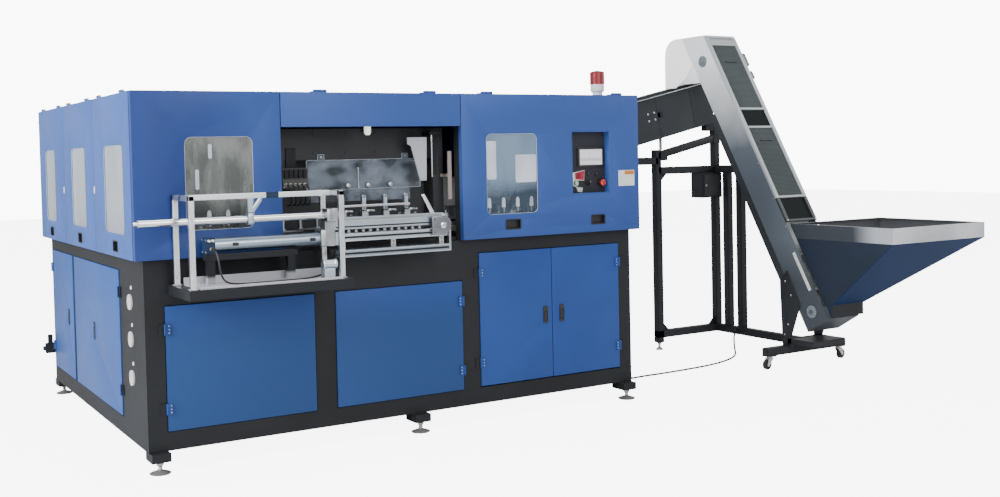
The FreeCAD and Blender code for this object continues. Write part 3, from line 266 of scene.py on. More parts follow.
paints = {  # colour, roughness, and what differs from the usual coat
    "hoodBlue": ((0.052, 0.12, 0.38), 0.4),
    # painted shade: the front hood panels take darker copies of the hood blue, fading darker towards the bottom,
    # and on the left panel towards its left edge
    "hoodFrontBlue": ((0.042, 0.095, 0.328), 0.4),
    "hoodLeftBlue": ((0.042, 0.095, 0.328), 0.4),
    "doorBlue": ((0.0225, 0.068, 0.265), 0.42),
    # painted shade: the lower doors take a darker copy of the door blue
    "lowerDoorBlue": ((0.02, 0.063, 0.215), 0.42),
    # painted light: the side doors take a lighter copy of the door blue for the lit left side
    "sideDoorBlue": ((0.036, 0.1, 0.33), 0.42),
    "frameCharcoal": ((0.0145, 0.016, 0.0185), 0.55, {"drift": 0.16}),
    "innerDark": ((0.016, 0.017, 0.02), 0.6, {"drift": 0.2}),
    "standBlack": ((0.024, 0.026, 0.03), 0.45, {"drift": 0.2}),
    # painted shade and light: the trough sides darken low down and fade to near white towards the top
    "troughGrey": ((0.085, 0.1, 0.12), 0.4),
    "trayPale": ((0.5, 0.5, 0.54), 0.3, {"specular": 0.6}),
    "shelfLeg": ((0.36, 0.36, 0.39), 0.4),
    # painted reflection on the rim's left face: pale at the front, dark towards the back
    "rimShade": ((0.06, 0.068, 0.078), 0.35, {"specular": 0.4}),
    # painted shade on the rim's inside faces
    "rimInside": ((0.1, 0.104, 0.11), 0.4, {"specular": 0.3}),
    # painted reflection: the rim's front face is a pale coat in place of bare stainless
    "rimBright": ((0.62, 0.64, 0.67), 0.3, {"specular": 0.5, "drift": 0.2}),
    "bracketGrey": ((0.5, 0.52, 0.56), 0.4),
    "stripBrown": ((0.42, 0.36, 0.33), 0.4),
    "motorGrey": ((0.16, 0.19, 0.22), 0.4, {"relief": 0.0005}),
    "consoleDark": ((0.03, 0.032, 0.04), 0.45),
    "funnelNavy": ((0.008, 0.026, 0.085), 0.5, {"specular": 0.08}),
    # painted reflection: the funnel's left faces take a greyer copy of the funnel navy
    "funnelShade": ((0.022, 0.03, 0.048), 0.5, {"specular": 0.12}),
    "coverGrey": ((0.42, 0.44, 0.46), 0.38),
    # painted glow: the white head hood also gives off light, though it is no lamp
    "hoodWhite": ((0.95, 0.955, 0.96), 0.34, {"specular": 0.5}),
    "panelDark": ((0.009, 0.011, 0.012), 0.6, {"specular": 0.05}),
    "meshBack": ((0.035, 0.045, 0.045), 0.6),
    "wireGreen": ((0.12, 0.14, 0.145), 0.45),
    "sorterDark": ((0.04, 0.045, 0.05), 0.42),
    "boxGrey": ((0.05, 0.052, 0.056), 0.42),
    "shelfBlack": ((0.014, 0.016, 0.02), 0.4),
    "bedGrey": ((0.035, 0.036, 0.04), 0.5, {"drift": 0.2}),
    # painted shade: the mould platens are darkened to sit in the shaded hood inside
    "platenDark": ((0.05, 0.052, 0.056), 0.5, {"drift": 0.25}),
    "footGrey": ((0.16, 0.16, 0.165), 0.45),
    "capNavy": ((0.012, 0.03, 0.07), 0.4),
    "blockGrey": ((0.1, 0.1, 0.095), 0.5, {"drift": 0.3}),
    "floorPale": ((0.93, 0.93, 0.93), 0.6, {"drift": 0.01, "grain": 40.0}),
}
metals = {  # colour, roughness, and what differs from an upright brush
    "stainless": ((0.8, 0.82, 0.85), 0.3, {"brush": (3.0, 200.0, 200.0)}),
    "stainlessUpright": ((0.84, 0.86, 0.88), 0.24, {"brush": (220.0, 220.0, 4.0)}),
    "anodised": ((0.5, 0.57, 0.63), 0.32, {"brush": (3.0, 260.0, 260.0)}),
    "barrelGrey": ((0.34, 0.41, 0.48), 0.3, {"brush": (3.0, 260.0, 260.0)}),
    "coverSteel": ((0.27, 0.28, 0.31), 0.26, {"brush": (3.0, 200.0, 200.0)}),
    "chromed": ((0.82, 0.83, 0.85), 0.1, {"brush": (2.0, 90.0, 90.0), "depth": 0.00003}),
    "chainSteel": ((0.42, 0.43, 0.45), 0.34, {"cloud": 0.3}),
    "mouldAlloy": ((0.5, 0.52, 0.54), 0.3, {"brush": (140.0, 4.0, 140.0)}),
    "zincPlated": ((0.58, 0.58, 0.56), 0.38, {"cloud": 0.25}),
    "forkZinc": ((0.7, 0.7, 0.68), 0.36, {"cloud": 0.2}),
    "ovenSheet": ((0.5, 0.5, 0.5), 0.4, {"cloud": 0.3}),
}
plastics = {  # colour, roughness, and what differs from a smooth moulding
    "blackPlastic": ((0.014, 0.014, 0.016), 0.38),
    "blackRubber": ((0.012, 0.012, 0.013), 0.72, {"relief": 0.0003, "grain": 500.0}),
    "tyreBlack": ((0.02, 0.02, 0.021), 0.66, {"relief": 0.0004, "grain": 300.0}),
    "paleCream": ((0.72, 0.71, 0.66), 0.4),
    "whitePlastic": ((0.78, 0.79, 0.8), 0.35),
    "whiteBelt": ((0.62, 0.66, 0.65), 0.55, {"relief": 0.0004, "grain": 260.0}),
    "orangeLabel": ((0.62, 0.2, 0.03), 0.45),
    "cordBlack": ((0.013, 0.013, 0.014), 0.5, {"relief": 0.0002, "grain": 420.0}),
    "greenRing": ((0.5, 0.68, 0.5), 0.3),
}
clears = {  # colour, thinnest and thickest cloud, its scale, and its stretch
    "leftGlass": ((0.25, 0.27, 0.26), 0.3, 0.85, 6.0, (2.2, 2.2, 0.8), {"clearBelow": (1.3, 1.42)}),
    "rightGlass": ((0.24, 0.34, 0.47), 0.6, 0.8, 3.0, (2.4, 2.4, 0.8), {"clearBelow": (1.36, 1.5)}),
    "sideGlass": ((0.42, 0.47, 0.53), 0.72, 0.9, 2.0, (2.0, 2.0, 0.8)),
    # painted reflection: pale patches on the glass
    "paleFilm": ((0.72, 0.77, 0.86), 0.7, 0.95, 5.0, (1.0, 1.0, 0.6)),
    "guardSheet": ((0.38, 0.45, 0.55), 0.06, 0.42, 8.0, (1.0, 1.0, 1.3)),
    "clearEdge": ((0.75, 0.8, 0.86), 0.8, 0.95, 30.0),
}
glows = {  # colour and light; the lamp, the screen and the beacon light up, the rest is painted glow on parts that are no lamps
    # painted glow: the stop button and gauge needles give off a little light, though they are no lamps
    "stopRed": ((0.5, 0.028, 0.02), 0.04),
    # painted glow on the red card patch
    "patchRed": ((0.4, 0.03, 0.06), 0.02),
    "beaconRed": ((0.24, 0.014, 0.022), 0.06),
    "screenPale": ((0.66, 0.62, 0.68), 0.35),
    "screenField": ((0.78, 0.74, 0.79), 0.4),
    "screenBar": ((0.6, 0.57, 0.64), 0.3),
    # painted glow: the preforms give off light, though they are no lamps
    "preformWhite": ((0.86, 0.89, 0.93), 0.45),
    "lampWhite": ((0.9, 0.9, 0.86), 1.2),
}
fades = [  # finish, axis, colours, where it starts and ends in metres, and how cloudy it is
    # painted shade: the trough sides darken towards the bottom
    ("troughGrey", "Z", (0.058, 0.066, 0.078), (0.124, 0.148, 0.174), 0.62, 0.98, 0.1),
    ("shelfLeg", "Z", (0.36, 0.36, 0.39), (0.014, 0.016, 0.02), 1.012, 1.03, 0.0),
    # painted light: the trough sides fade to near white towards the top
    ("troughGrey", "Z", None, (0.9, 0.91, 0.92), 1.66, 2.4, 0.1),
    # painted shade: the front hood panels darken towards the bottom, the left panel towards its left edge
    ("hoodFrontBlue", "Z", (0.033, 0.077, 0.28), (0.042, 0.095, 0.328), 1.15, 1.5),
    ("hoodLeftBlue", "X", (0.023, 0.053, 0.218), (0.04, 0.091, 0.318), hoodCorner.x + 0.12, hoodCorner.x + 0.72),
    # painted reflection on the rim's left face: pale at the front, dark towards the back
    ("rimShade", "Y", (0.42, 0.44, 0.47), (0.045, 0.052, 0.062), hoodCorner.y - 0.6, hoodCorner.y - 0.4, 0.15),
    # painted shade: the lower doors darken towards the bottom
    ("lowerDoorBlue", "Z", (0.0185, 0.062, 0.2), (0.023, 0.068, 0.255), 0.66, 0.82, 0.1),
]
# strength of the head hood's painted glow
headHoodPaintedGlowStrength = 0.5
skins = {}


def makeMaterials():
    makers = ((paint, paints), (metal, metals), (plastic, plastics), (clearSheet, clears), (glow, glows))
    for maker, table in makers:
        for name, values in table.items():
            extras = values[-1] if isinstance(values[-1], dict) else {}
            skins[name] = maker(name, *[value for value in values if value is not extras], **extras)
    for row in fades:
        fade(*row)
    # painted glow on the white head hood
    lit(skins["hoodWhite"], white, headHoodPaintedGlowStrength)


# shapes: each adds to a kit, a mesh with its list of finishes, in millimetres that a place function turns

def plain(u, v, w):
    return (u, v, w)


def facingFront(u, v, w):  # u to the right, v up, w into the machine
    return (u, w, v)


def facingLeft(u, v, w):  # u into the machine, v up, w to the right
    return (w, u, v)


elevatorLean = {"angle": math.radians(30.8), "footY": -199.0, "footZ": 400.0}


def onElevator(u, v, w):  # u across, v along the slope, w into the trough
    sine, cosine = math.sin(elevatorLean["angle"]), math.cos(elevatorLean["angle"])
    return (u, elevatorLean["footY"] + w * cosine + v * sine, elevatorLean["footZ"] - w * sine + v * cosine)


def alongSide(u, v, w):  # u into the trough, v along the slope, w across
    return onElevator(w, v, u)


sorterTilt = {"angle": math.atan(0.225), "startX": 3230.0, "startZ": 1439.0}


def onSorter(u, v, w):  # u along the slope, v into the machine, w up from its floor
    sine, cosine = math.sin(sorterTilt["angle"]), math.cos(sorterTilt["angle"])
    return (sorterTilt["startX"] + u * cosine - w * sine, v, sorterTilt["startZ"] + u * sine + w * cosine)


def startKit():
    return {"bm": bmesh.new(), "skins": []}


def slotOf(kit, skin):
    if skin not in kit["skins"]:
        kit["skins"].append(skin)
    return kit["skins"].index(skin)


def addMesh(kit, skin, mesh, place=plain, isFlat=lambda normal: False):
    bm = kit["bm"]
    firstVert, firstFace = len(bm.verts), len(bm.faces)
    bm.from_mesh(mesh)
    flats = [isFlat(polygon.normal) for polygon in mesh.polygons]
    bpy.data.meshes.remove(mesh)
    bm.verts.ensure_lookup_table()
    bm.faces.ensure_lookup_table()
    for vert in bm.verts[firstVert:]:
        vert.co = spot(*place(*vert.co))
    for face, flat in zip(bm.faces[firstFace:], flats):
        face.material_index = slotOf(kit, skin)
        face.smooth = not flat


def meshFrom(bm, name):
    mesh = bpy.data.meshes.new(name)
    bm.to_mesh(mesh)
    bm.free()
    return mesh


def evaluatedMesh(thing):
    return bpy.data.meshes.new_from_object(thing.evaluated_get(bpy.context.evaluated_depsgraph_get()))


def meshFromCurve(curve):
    thing = newObject("draft", curve)
    made = evaluatedMesh(thing)
    bpy.data.objects.remove(thing)
    bpy.data.curves.remove(curve)
    return made


def arc(u, v, radius, start, step, count):  # points round a centre, in degrees
    turns = [math.radians(start + step * k) for k in range(count)]
    return [(u + radius * math.cos(t), v + radius * math.sin(t)) for t in turns]


def circle(u, v, radius, steps=28):
    return arc(u, v, radius, 0.0, 360.0 / steps, steps)


def roundedRect(u0, u1, v0, v1, radius=0.0, steps=7):
    if not radius:
        return [(u0, v0), (u1, v0), (u1, v1), (u0, v1)]
    corners = ((u1 - radius, v1 - radius, 0), (u0 + radius, v1 - radius, 90),
               (u0 + radius, v0 + radius, 180), (u1 - radius, v0 + radius, 270))
    return [point for u, v, start in corners for point in arc(u, v, radius, start, 90.0 / steps, steps + 1)]


flatLimit = 0.999  # faces squarer to an axis than this keep their flat shading


def plate(kit, skin, loops, w0, w1, place=plain, edge=1.0, steps=1):  # a sheet with any holes, edges eased
    curve = bpy.data.curves.new("outline", "CURVE")
    curve.dimensions = "2D"
    curve.fill_mode = "BOTH"
    curve.extrude = abs(w1 - w0) / 2 - edge
    curve.bevel_depth = edge
    curve.bevel_resolution = steps - 1
    curve.offset = -edge
    for loop in loops:
        spline = curve.splines.new("POLY")
        spline.points.add(len(loop) - 1)
        for point, (u, v) in zip(spline.points, loop):
            point.co = (u, v, 0.0, 1.0)
        spline.use_cyclic_u = True
    middle = (w0 + w1) / 2
    addMesh(kit, skin, meshFromCurve(curve), lambda u, v, w: place(u, v, w + middle),
            lambda normal: abs(normal.z) > flatLimit)


def block(kit, skin, low, high, edge=1.5, steps=1, place=plain):
    bm = bmesh.new()
    bmesh.ops.create_cube(bm, size=1.0)
    for vert in bm.verts:
        vert.co = Vector((low[k] if vert.co[k] < 0 else high[k] for k in range(3)))
    if edge:
        bmesh.ops.bevel(bm, geom=bm.edges[:], offset=edge, segments=steps, affect="EDGES", clamp_overlap=True)
    addMesh(kit, skin, meshFrom(bm, "block"), place, lambda normal: max(map(abs, normal)) > flatLimit)


def lathe(kit, skin, profile, origin=(0, 0, 0), sides=32, place=plain, axis=(0, 0, 1)):  # radius and height pairs
    turn = Vector((0, 0, 1)).rotation_difference(Vector(axis)).to_matrix()
    rings, verts, faces = [], [], []
    for radius, height in profile:
        ring = range(len(verts), len(verts) + (sides if radius > 1e-6 else 1))
        for k in range(len(ring)):
            angle = 2 * math.pi * k / sides
            here = Vector((radius * math.cos(angle), radius * math.sin(angle), height))
            verts.append(turn @ here + Vector(origin))
        rings.append(ring)
    for lower, upper in zip(rings[:-1], rings[1:]):
        for k in range(sides):
            n = (k + 1) % sides
            if len(lower) == 1 and len(upper) > 1:
                faces.append((lower[0], upper[n], upper[k]))
            elif len(upper) == 1 and len(lower) > 1:
                faces.append((lower[k], lower[n], upper[0]))
            elif len(lower) > 1:
                faces.append((lower[k], lower[n], upper[n], upper[k]))
    if profile[0] != profile[-1]:  # open ends get a cap
        faces += [tuple(ring) for ring in (rings[0], rings[-1]) if len(ring) > 1]
    mesh = bpy.data.meshes.new("turned")
    mesh.from_pydata(verts, [], faces)
    addMesh(kit, skin, mesh, place)


def runCurve(name, points, radius, curved, sides, closed=False, steps=6):
    curve = bpy.data.curves.new(name, "CURVE")
    curve.dimensions = "3D"
    curve.bevel_depth = radius
    curve.bevel_resolution = sides
    curve.use_fill_caps = not closed
    spline = curve.splines.new("NURBS" if curved else "POLY")
    spline.points.add(len(points) - 1)
    for point, place in zip(spline.points, points):
        point.co = (*place, 1.0)
    spline.use_cyclic_u = closed
    if curved:
        spline.order_u = 3
        spline.use_endpoint_u = not closed
        spline.resolution_u = steps
    return curve


def tube(kit, skin, points, radius, curved=False, sides=3, closed=False):
    addMesh(kit, skin, meshFromCurve(runCurve("run", points, radius, curved, sides, closed)))


smoothAngle = math.radians(32.0)


def finishKit(kit, name, body, stands=()):
    bm = kit["bm"]
    bmesh.ops.remove_doubles(bm, verts=bm.verts, dist=2e-6)
    bmesh.ops.recalc_face_normals(bm, faces=bm.faces)
    mesh = meshFrom(bm, name)
    mesh.set_sharp_from_angle(angle=smoothAngle)
    for skin in kit["skins"]:
        mesh.materials.append(skins[skin])
    piece = newObject(name, mesh)
    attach(piece, body)
    if stands:
        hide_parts(*stands)
    return piece


def nodeCopy(kit, name, chooseSkin):  # a merged copy of a plain node, with a finish for each face
    bm = bmesh.new()
    bm.from_mesh(nodes[name].data)
    bm.transform(nodes[name].matrix_world)
    bmesh.ops.remove_doubles(bm, verts=bm.verts, dist=1e-6)
    bmesh.ops.dissolve_limit(bm, angle_limit=math.radians(0.5), verts=bm.verts, edges=bm.edges)
    for vert in bm.verts:
        vert.co = (vert.co - hoodCorner) / metresPerMillimetre
    bm.normal_update()
    chosen = [chooseSkin(face.calc_center_median(), face.normal) for face in bm.faces]
    first = len(kit["bm"].faces)
    addMesh(kit, chosen[0], meshFrom(bm, "copy"))
    kit["bm"].faces.ensure_lookup_table()
    for face, skin in zip(kit["bm"].faces[first:], chosen):
        face.material_index = slotOf(kit, skin)


# Geometry Nodes trees: each takes its sizes by name and ends in Realize Instances and Set Material

def newTree(name, **inputs):
    tree = bpy.data.node_groups.new(name, "GeometryNodeTree")
    tree.interface.new_socket(name="Geometry", in_out="INPUT", socket_type="NodeSocketGeometry")
    for label, kind in (inputs | {"finish": "Material"}).items():
        tree.interface.new_socket(name=label, in_out="INPUT", socket_type="NodeSocket" + kind)
    tree.interface.new_socket(name="Geometry", in_out="OUTPUT", socket_type="NodeSocketGeometry")
    return tree, tree.nodes.new("NodeGroupInput")


def treeNode(tree, kind, settings=None, **sockets):
    node = tree.nodes.new(kind)
    for key, value in (settings or {}).items():
        setattr(node, key, value)
    for key, value in sockets.items():
        node.inputs[key].default_value = value
    return node


def times(tree, factor):
    node = treeNode(tree, "ShaderNodeMath", {"operation": "MULTIPLY"})
    node.inputs[1].default_value = factor
    return node


def wireTree(tree, given, rows, last, result):  # rows: from a node's output to a node's input
    realize, dress = tree.nodes.new("GeometryNodeRealizeInstances"), tree.nodes.new("GeometryNodeSetMaterial")
    out = tree.nodes.new("NodeGroupOutput")
    rows += [(last, result, realize, "Geometry"), (realize, "Geometry", dress, "Geometry"),
             (given, "finish", dress, "Material"), (dress, "Geometry", out, "Geometry")]
    for source, outName, target, inName in rows:
        tree.links.new(source.outputs[outName], target.inputs[inName])
    return tree


headTaper, headCap = 0.72, 0.4  # the cap's top radius and height, as shares of the head's


def boltTree():  # domed round heads at the points of a mesh, turned by its "facing" attribute
    tree, given = newTree("boltHeads", headRadius="Float", headHeight="Float", sides="Int")
    lower, upper = tree.nodes.new("GeometryNodeMeshCylinder"), tree.nodes.new("GeometryNodeMeshCone")
    slim, cap, half = times(tree, headTaper), times(tree, headCap), times(tree, 0.5)
    both, lift = tree.nodes.new("GeometryNodeJoinGeometry"), tree.nodes.new("GeometryNodeTransform")
    raised, onPoints = tree.nodes.new("ShaderNodeCombineXYZ"), tree.nodes.new("GeometryNodeInstanceOnPoints")
    facing = treeNode(tree, "GeometryNodeInputNamedAttribute", {"data_type": "FLOAT_VECTOR"}, Name="facing")
    align = treeNode(tree, "FunctionNodeAlignRotationToVector", {"axis": "Z"})
    return wireTree(tree, given, [
        (given, "headRadius", lower, "Radius"), (given, "headHeight", lower, "Depth"),
        (given, "sides", lower, "Vertices"), (given, "sides", upper, "Vertices"),
        (given, "headRadius", upper, "Radius Bottom"), (given, "headRadius", slim, 0),
        (slim, 0, upper, "Radius Top"), (given, "headHeight", cap, 0), (cap, 0, upper, "Depth"),
        (given, "headHeight", half, 0), (half, 0, raised, "Z"), (upper, "Mesh", lift, "Geometry"),
        (raised, "Vector", lift, "Translation"), (lower, "Mesh", both, "Geometry"),
        (lift, "Geometry", both, "Geometry"), (given, "Geometry", onPoints, "Points"),
        (both, "Geometry", onPoints, "Instance"), (facing, "Attribute", align, "Vector"),
        (align, "Rotation", onPoints, "Rotation")], onPoints, "Instances")


def copiesTree():  # a small template set at every point, turned about Z by its "heading" attribute
    tree, given = newTree("copiesOnPoints", template="Object", size="Float")
    info, turn = tree.nodes.new("GeometryNodeObjectInfo"), tree.nodes.new("ShaderNodeCombineXYZ")
    heading = treeNode(tree, "GeometryNodeInputNamedAttribute", {"data_type": "FLOAT"}, Name="heading")
    onPoints = tree.nodes.new("GeometryNodeInstanceOnPoints")
    return wireTree(tree, given, [
        (given, "template", info, "Object"), (heading, "Attribute", turn, "Z"),
        (given, "Geometry", onPoints, "Points"), (info, "Geometry", onPoints, "Instance"),
        (turn, "Vector", onPoints, "Rotation"), (given, "size", onPoints, "Scale")], onPoints, "Instances")


def meshTree():  # crossed wires over a flat field
    tree, given = newTree("wireMesh", width="Float", length="Float", wiresAcross="Int", wiresAlong="Int",
                          wireRadius="Float")
    grid, strands = tree.nodes.new("GeometryNodeMeshGrid"), tree.nodes.new("GeometryNodeMeshToCurve")
    ring = treeNode(tree, "GeometryNodeCurvePrimitiveCircle", Resolution=5)
    sweep = tree.nodes.new("GeometryNodeCurveToMesh")
    return wireTree(tree, given, [
        (given, "width", grid, "Size X"), (given, "length", grid, "Size Y"),
        (given, "wiresAcross", grid, "Vertices X"), (given, "wiresAlong", grid, "Vertices Y"),
        (grid, "Mesh", strands, "Mesh"), (given, "wireRadius", ring, "Radius"),
        (strands, "Curve", sweep, "Curve"), (ring, "Curve", sweep, "Profile Curve")], sweep, "Mesh")


def finTree():  # flat fins set round a ring
    tree, given = newTree("finRing", count="Int", ringRadius="Float", finSize="Vector")
    ring, fin = tree.nodes.new("GeometryNodeMeshCircle"), tree.nodes.new("GeometryNodeMeshCube")
    onPoints, here = tree.nodes.new("GeometryNodeInstanceOnPoints"), tree.nodes.new("GeometryNodeInputPosition")
    align = treeNode(tree, "FunctionNodeAlignRotationToVector", {"axis": "X"})
    return wireTree(tree, given, [
        (given, "count", ring, "Vertices"), (given, "ringRadius", ring, "Radius"),
        (given, "finSize", fin, "Size"), (ring, "Mesh", onPoints, "Points"),
        (fin, "Mesh", onPoints, "Instance"), (here, "Position", align, "Vector"),
        (align, "Rotation", onPoints, "Rotation")], onPoints, "Instances")


trees = {"bolts": boltTree(), "copies": copiesTree(), "wires": meshTree(), "fins": finTree()}


def grown(kit, skin, treeName, values, points=((0.0, 0.0, 0.0),), attribute=None, place=plain):
    mesh = bpy.data.meshes.new("points")
    mesh.from_pydata([Vector(point) for point in points], [], [])
    if attribute:
        name, kind, rows = attribute
        layer = mesh.attributes.new(name, kind, "POINT")
        for slot, row in zip(layer.data, rows):
            setattr(slot, "value" if kind == "FLOAT" else "vector", row)
    thing = newObject("pattern", mesh)
    modifier = thing.modifiers.new("pattern", "NODES")
    modifier.node_group = trees[treeName]
    wanted = dict(values, finish=skins[skin])
    for item in trees[treeName].interface.items_tree:
        if item.in_out == "INPUT" and item.name in wanted:
            value = wanted[item.name]
            modifier[item.identifier] = float(value) if item.socket_type == "NodeSocketFloat" else value
    made = evaluatedMesh(thing)
    thing.modifiers.remove(modifier)
    bpy.data.objects.remove(thing)
    bpy.data.meshes.remove(mesh)
    addMesh(kit, skin, made, place)


up, outward, forward, leftward, rightward = (0, 0, 1), (0, 0, -1), (0, -1, 0), (-1, 0, 0), (1, 0, 0)


def bolts(kit, skin, points, facing, radius=6.0, height=4.0, sides=6, place=plain):
    grown(kit, skin, "bolts", {"headRadius": radius, "headHeight": height, "sides": sides}, points,
          ("facing", "FLOAT_VECTOR", [facing] * len(points)), place)


print("stage: floor, camera and light")
makeMaterials()
makeCamera(photoCamera)
makeLights()


def makeFloor():
    half = studio["floorSize"] / 2
    bm = bmesh.new()
    bm.faces.new([bm.verts.new((u * half, v * half, 0.0)) for u, v in ((-1, -1), (1, -1), (1, 1), (-1, 1))])
    mesh = meshFrom(bm, "studioFloor")
    ground = newObject("studioFloor", mesh)
    pale = skins["floorPale"]
    mesh.materials.append(pale)
    seen = addNode(pale, "ShaderNodeMath", {"operation": "MULTIPLY"})  # only the camera sees the floor shine
    seen.inputs[1].default_value = studio["floorSeen"]
    wire(pale, addNode(pale, "ShaderNodeLightPath"), "Is Camera Ray", seen, 0)
    lit(pale, white, 1.0)
    wire(pale, seen, 0, shaderOf(pale), "Emission Strength")


makeFloor()

print("stage: hose and cable")

airHose = {"radius": 5, "length": 0.9566, "points": (
    (354, -174, 1172), (356, -224, 1166), (360, -248, 1112), (366, -252, 1046),
    (392, -256, 1003), (456, -262, 993.2), (560, -258, 992.8), (690, -262, 993.2),
    (830, -250, 992.8), (930, -226, 1002), (990, -192, 1032), (1028, -152, 1064),
    (1070, -122, 1092))}
powerCable = {"radius": 7, "length": 2.1787, "points": (
    (3218, 500, 160), (3298, 502, 158), (3386, 506, 112), (3452, 512, 46),
    (3548, 520, 8), (3700, 540, 7.6), (3880, 534, 8), (4070, 544, 7.6),
    (4260, 556, 8), (4440, 588, 7.6), (4600, 640, 8), (4740, 716, 7.6),
    (4860, 822, 8), (4950, 930, 12), (5020, 1014, 52), (5070, 1068, 108),
    (5130, 1108, 134))}


def makeCord(name, values, node):
    points, radius = [spot(*place) for place in values["points"]], values["radius"] * metresPerMillimetre
    curve = runCurve(name, points, radius, curved=True, sides=4, steps=8)
    curve.materials.append(skins["cordBlack"])
    piece = newObject(name, curve)
    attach(piece, "machine")
    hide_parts(node)


def reliefAt(name, start, onward, radius, length):  # a tapered, ribbed sleeve at a cord's end
    kit = startKit()
    axis = (Vector(onward) - Vector(start)).normalized()
    profile = [(radius + 0.4, 0), (radius + 7, 0), (radius + 7, 7), (radius + 5, 8)]
    ribs, collar = 6, 10
    step = (length - collar - 2) / ribs
    for k in range(ribs):
        h, size = collar + step * k, radius + 4.6 - 3.2 * k / ribs
        profile += [(size, h), (size, h + 2.6), (size - 1.1, h + 3), (size - 1.1, h + step - 0.4)]
    profile += [(radius + 1, length), (radius + 0.4, length)]
    lathe(kit, "blackPlastic", profile, start, 20, axis=axis)
    return finishKit(kit, name, "machine")


for cordName, cord, nodeName, sleeve, ends in (
        ("powerCable", powerCable, "power_cable", 42, ("cableGlandBase", "cableGlandStand")),
        ("airHose", airHose, "air_hose", 24, ("hoseCollar", "hoseEndCollar"))):
    runs = (cord["points"][:2], cord["points"][:-3:-1])
    reliefs = [reliefAt(end, *run, cord["radius"], sleeve) for end, run in zip(ends, runs)]
    makeCord(cordName, cord, nodeName)

print("stage: finishes on the plain nodes")
nodeSkins = {
    "base_frame": "frameCharcoal", "hood_shell": "hoodBlue", "hood_frame": "innerDark",
    "drive_chain_wheel": "chainSteel",
    # the mould platens take the darkened copy, a painted shade
    "idler_chain_wheel": "chainSteel", "mould_front": "platenDark", "mould_rear": "platenDark",
    "stretch_rods": "chromed", "oven": "ovenSheet", "elevator_belt": "whiteBelt", "tail_drum": "chainSteel",
    "head_drum": "chainSteel", "infeed_rails": "zincPlated", "sorter_roller_front": "chromed",
    "sorter_roller_rear": "chromed",
}
for nodeName, skinName in nodeSkins.items():
    shown = nodes[nodeName]
    if not shown.material_slots:
        shown.data.materials.append(skins[skinName])
    for slot in shown.material_slots:
        slot.material = skins[skinName]

print("stage: hood doors")
hood = {"skin": 3, "depth": 38, "edge": 1.4, "v": (1120, 1998), "windowRadius": 36, "barrelLength": 80,
        "barrelIn": 7, "barrelUp": 2006, "sideFrom": 42, "sideStep": 2588 / 3, "sideGap": 4}
hoodDoors = {
    "front_left_panel": {"body": "machine", "u": (2, 801), "window": (272, 640, 1265, 1755), "blue": "hoodLeftBlue",
                         "glass": "leftGlass", "films": [(398, 418, 1640, 1718), (326, 346, 1478, 1584)]},
    "header_panel": {"body": "header_leaf", "u": (805, 1931), "v": (1805, 1998), "hinges": [1000, 1690]},
    "front_right_door": {"body": "front_right_leaf", "u": (1935, 3268), "window": (2105, 2470, 1265, 1755),
                         "pulls": [(2288, 1168), (2932, 1168)], "hinges": [2080, 3060], "glass": "rightGlass",
                         "recess": (2735, 3035, 1368, 1765),
                         "films": [(2109, 2176, 1478, 1712), (2314, 2466, 1455, 1626)]},
}
for index, (windowFrom, windowTo) in enumerate(((205, 630), (1140, 1524), (2080, 2400))):
    doorFrom = hood["sideFrom"] + index * hood["sideStep"]
    doorTo = doorFrom + hood["sideStep"] - hood["sideGap"]
    hoodDoors["side_lift_door_%d" % (index + 1)] = {
        "body": "side_lift_leaf_%d" % (index + 1), "place": facingLeft, "u": (doorFrom, doorTo), "blue": "hoodBlue",
        "window": (windowFrom, windowTo, 1250, 1722), "glass": "sideGlass",
        "pulls": [((windowFrom + windowTo) / 2, 1146)], "hinges": [doorFrom + 120, doorTo - 200]}


def cupOutline(u, v, inset, radius, steps=4):
    return roundedRect(u - 56 + inset, u + 56 - inset, v - 1 + inset, v + 63 - inset, radius, steps)


def cupPull(kit, u, v, place):  # a black finger cup with a thin rounded lip
    mouth, wall = cupOutline(u, v, 6, 5), cupOutline(u, v, 4, 6)
    plate(kit, "blackPlastic", [cupOutline(u, v, 0, 7), mouth], -1.8, 3, place, 0.9)
    plate(kit, "blackPlastic", [wall, mouth], 3, 25, place, 0.4)
    plate(kit, "blackPlastic", [wall], 25, 28, place, 0.5)


def foldedPanel(kit, skin, u, v, openings, place, front, depth):  # a sheet with its four edges folded back
    rim, inner = roundedRect(*u, *v, 2, 2), roundedRect(u[0] + hood["skin"], u[1] - hood["skin"],
                                                        v[0] + hood["skin"], v[1] - hood["skin"])
    plate(kit, skin, [rim] + openings, front, front + hood["skin"], place, hood["edge"], 2)
    plate(kit, skin, [rim, inner], front + 1.6, front + depth, place, 0.4)


def knuckles(kit, skin, start, length, radius, gap, ease, place):  # three hinge barrels, end to end
    for k in range(3):
        a, b = start + length * k / 3 + gap, start + length * (k + 1) / 3 - gap
        slim = radius - ease[0]
        profile = [(0, a), (slim, a), (radius, a + ease[1]), (radius, b - ease[1]), (slim, b), (0, b)]
        lathe(kit, skin, profile, sides=18, place=place)


def makeWindow(kit, door, place):
    w0, w1, x0, x1 = door["window"]
    radius = hood["windowRadius"]
    outer = roundedRect(w0 - 11, w1 + 11, x0 - 11, x1 + 11, radius + 8, 10)
    seal = roundedRect(w0 - 1.5, w1 + 1.5, x0 - 1.5, x1 + 1.5, radius, 10)
    plate(kit, "blackRubber", [outer, seal], 3, 5, place, 0.4)
    plate(kit, door["glass"], [outer], 5, 8, place, 0.6)
    ring = [place(u, v, 1.6) for u, v in roundedRect(w0, w1, x0, x1, radius, 10)]
    tube(kit, "clearEdge", ring, 1.3, closed=True, sides=2)
    for u, v in ((w0 + 30, x0 - 5), (w1 - 30, x0 - 5), (w0 + 30, x1 + 5), (w1 - 30, x1 + 5)):
        lathe(kit, "zincPlated", [(0, 8), (6, 8), (6, 11), (4, 13), (0, 13)], (u, v, 0), 12, place)


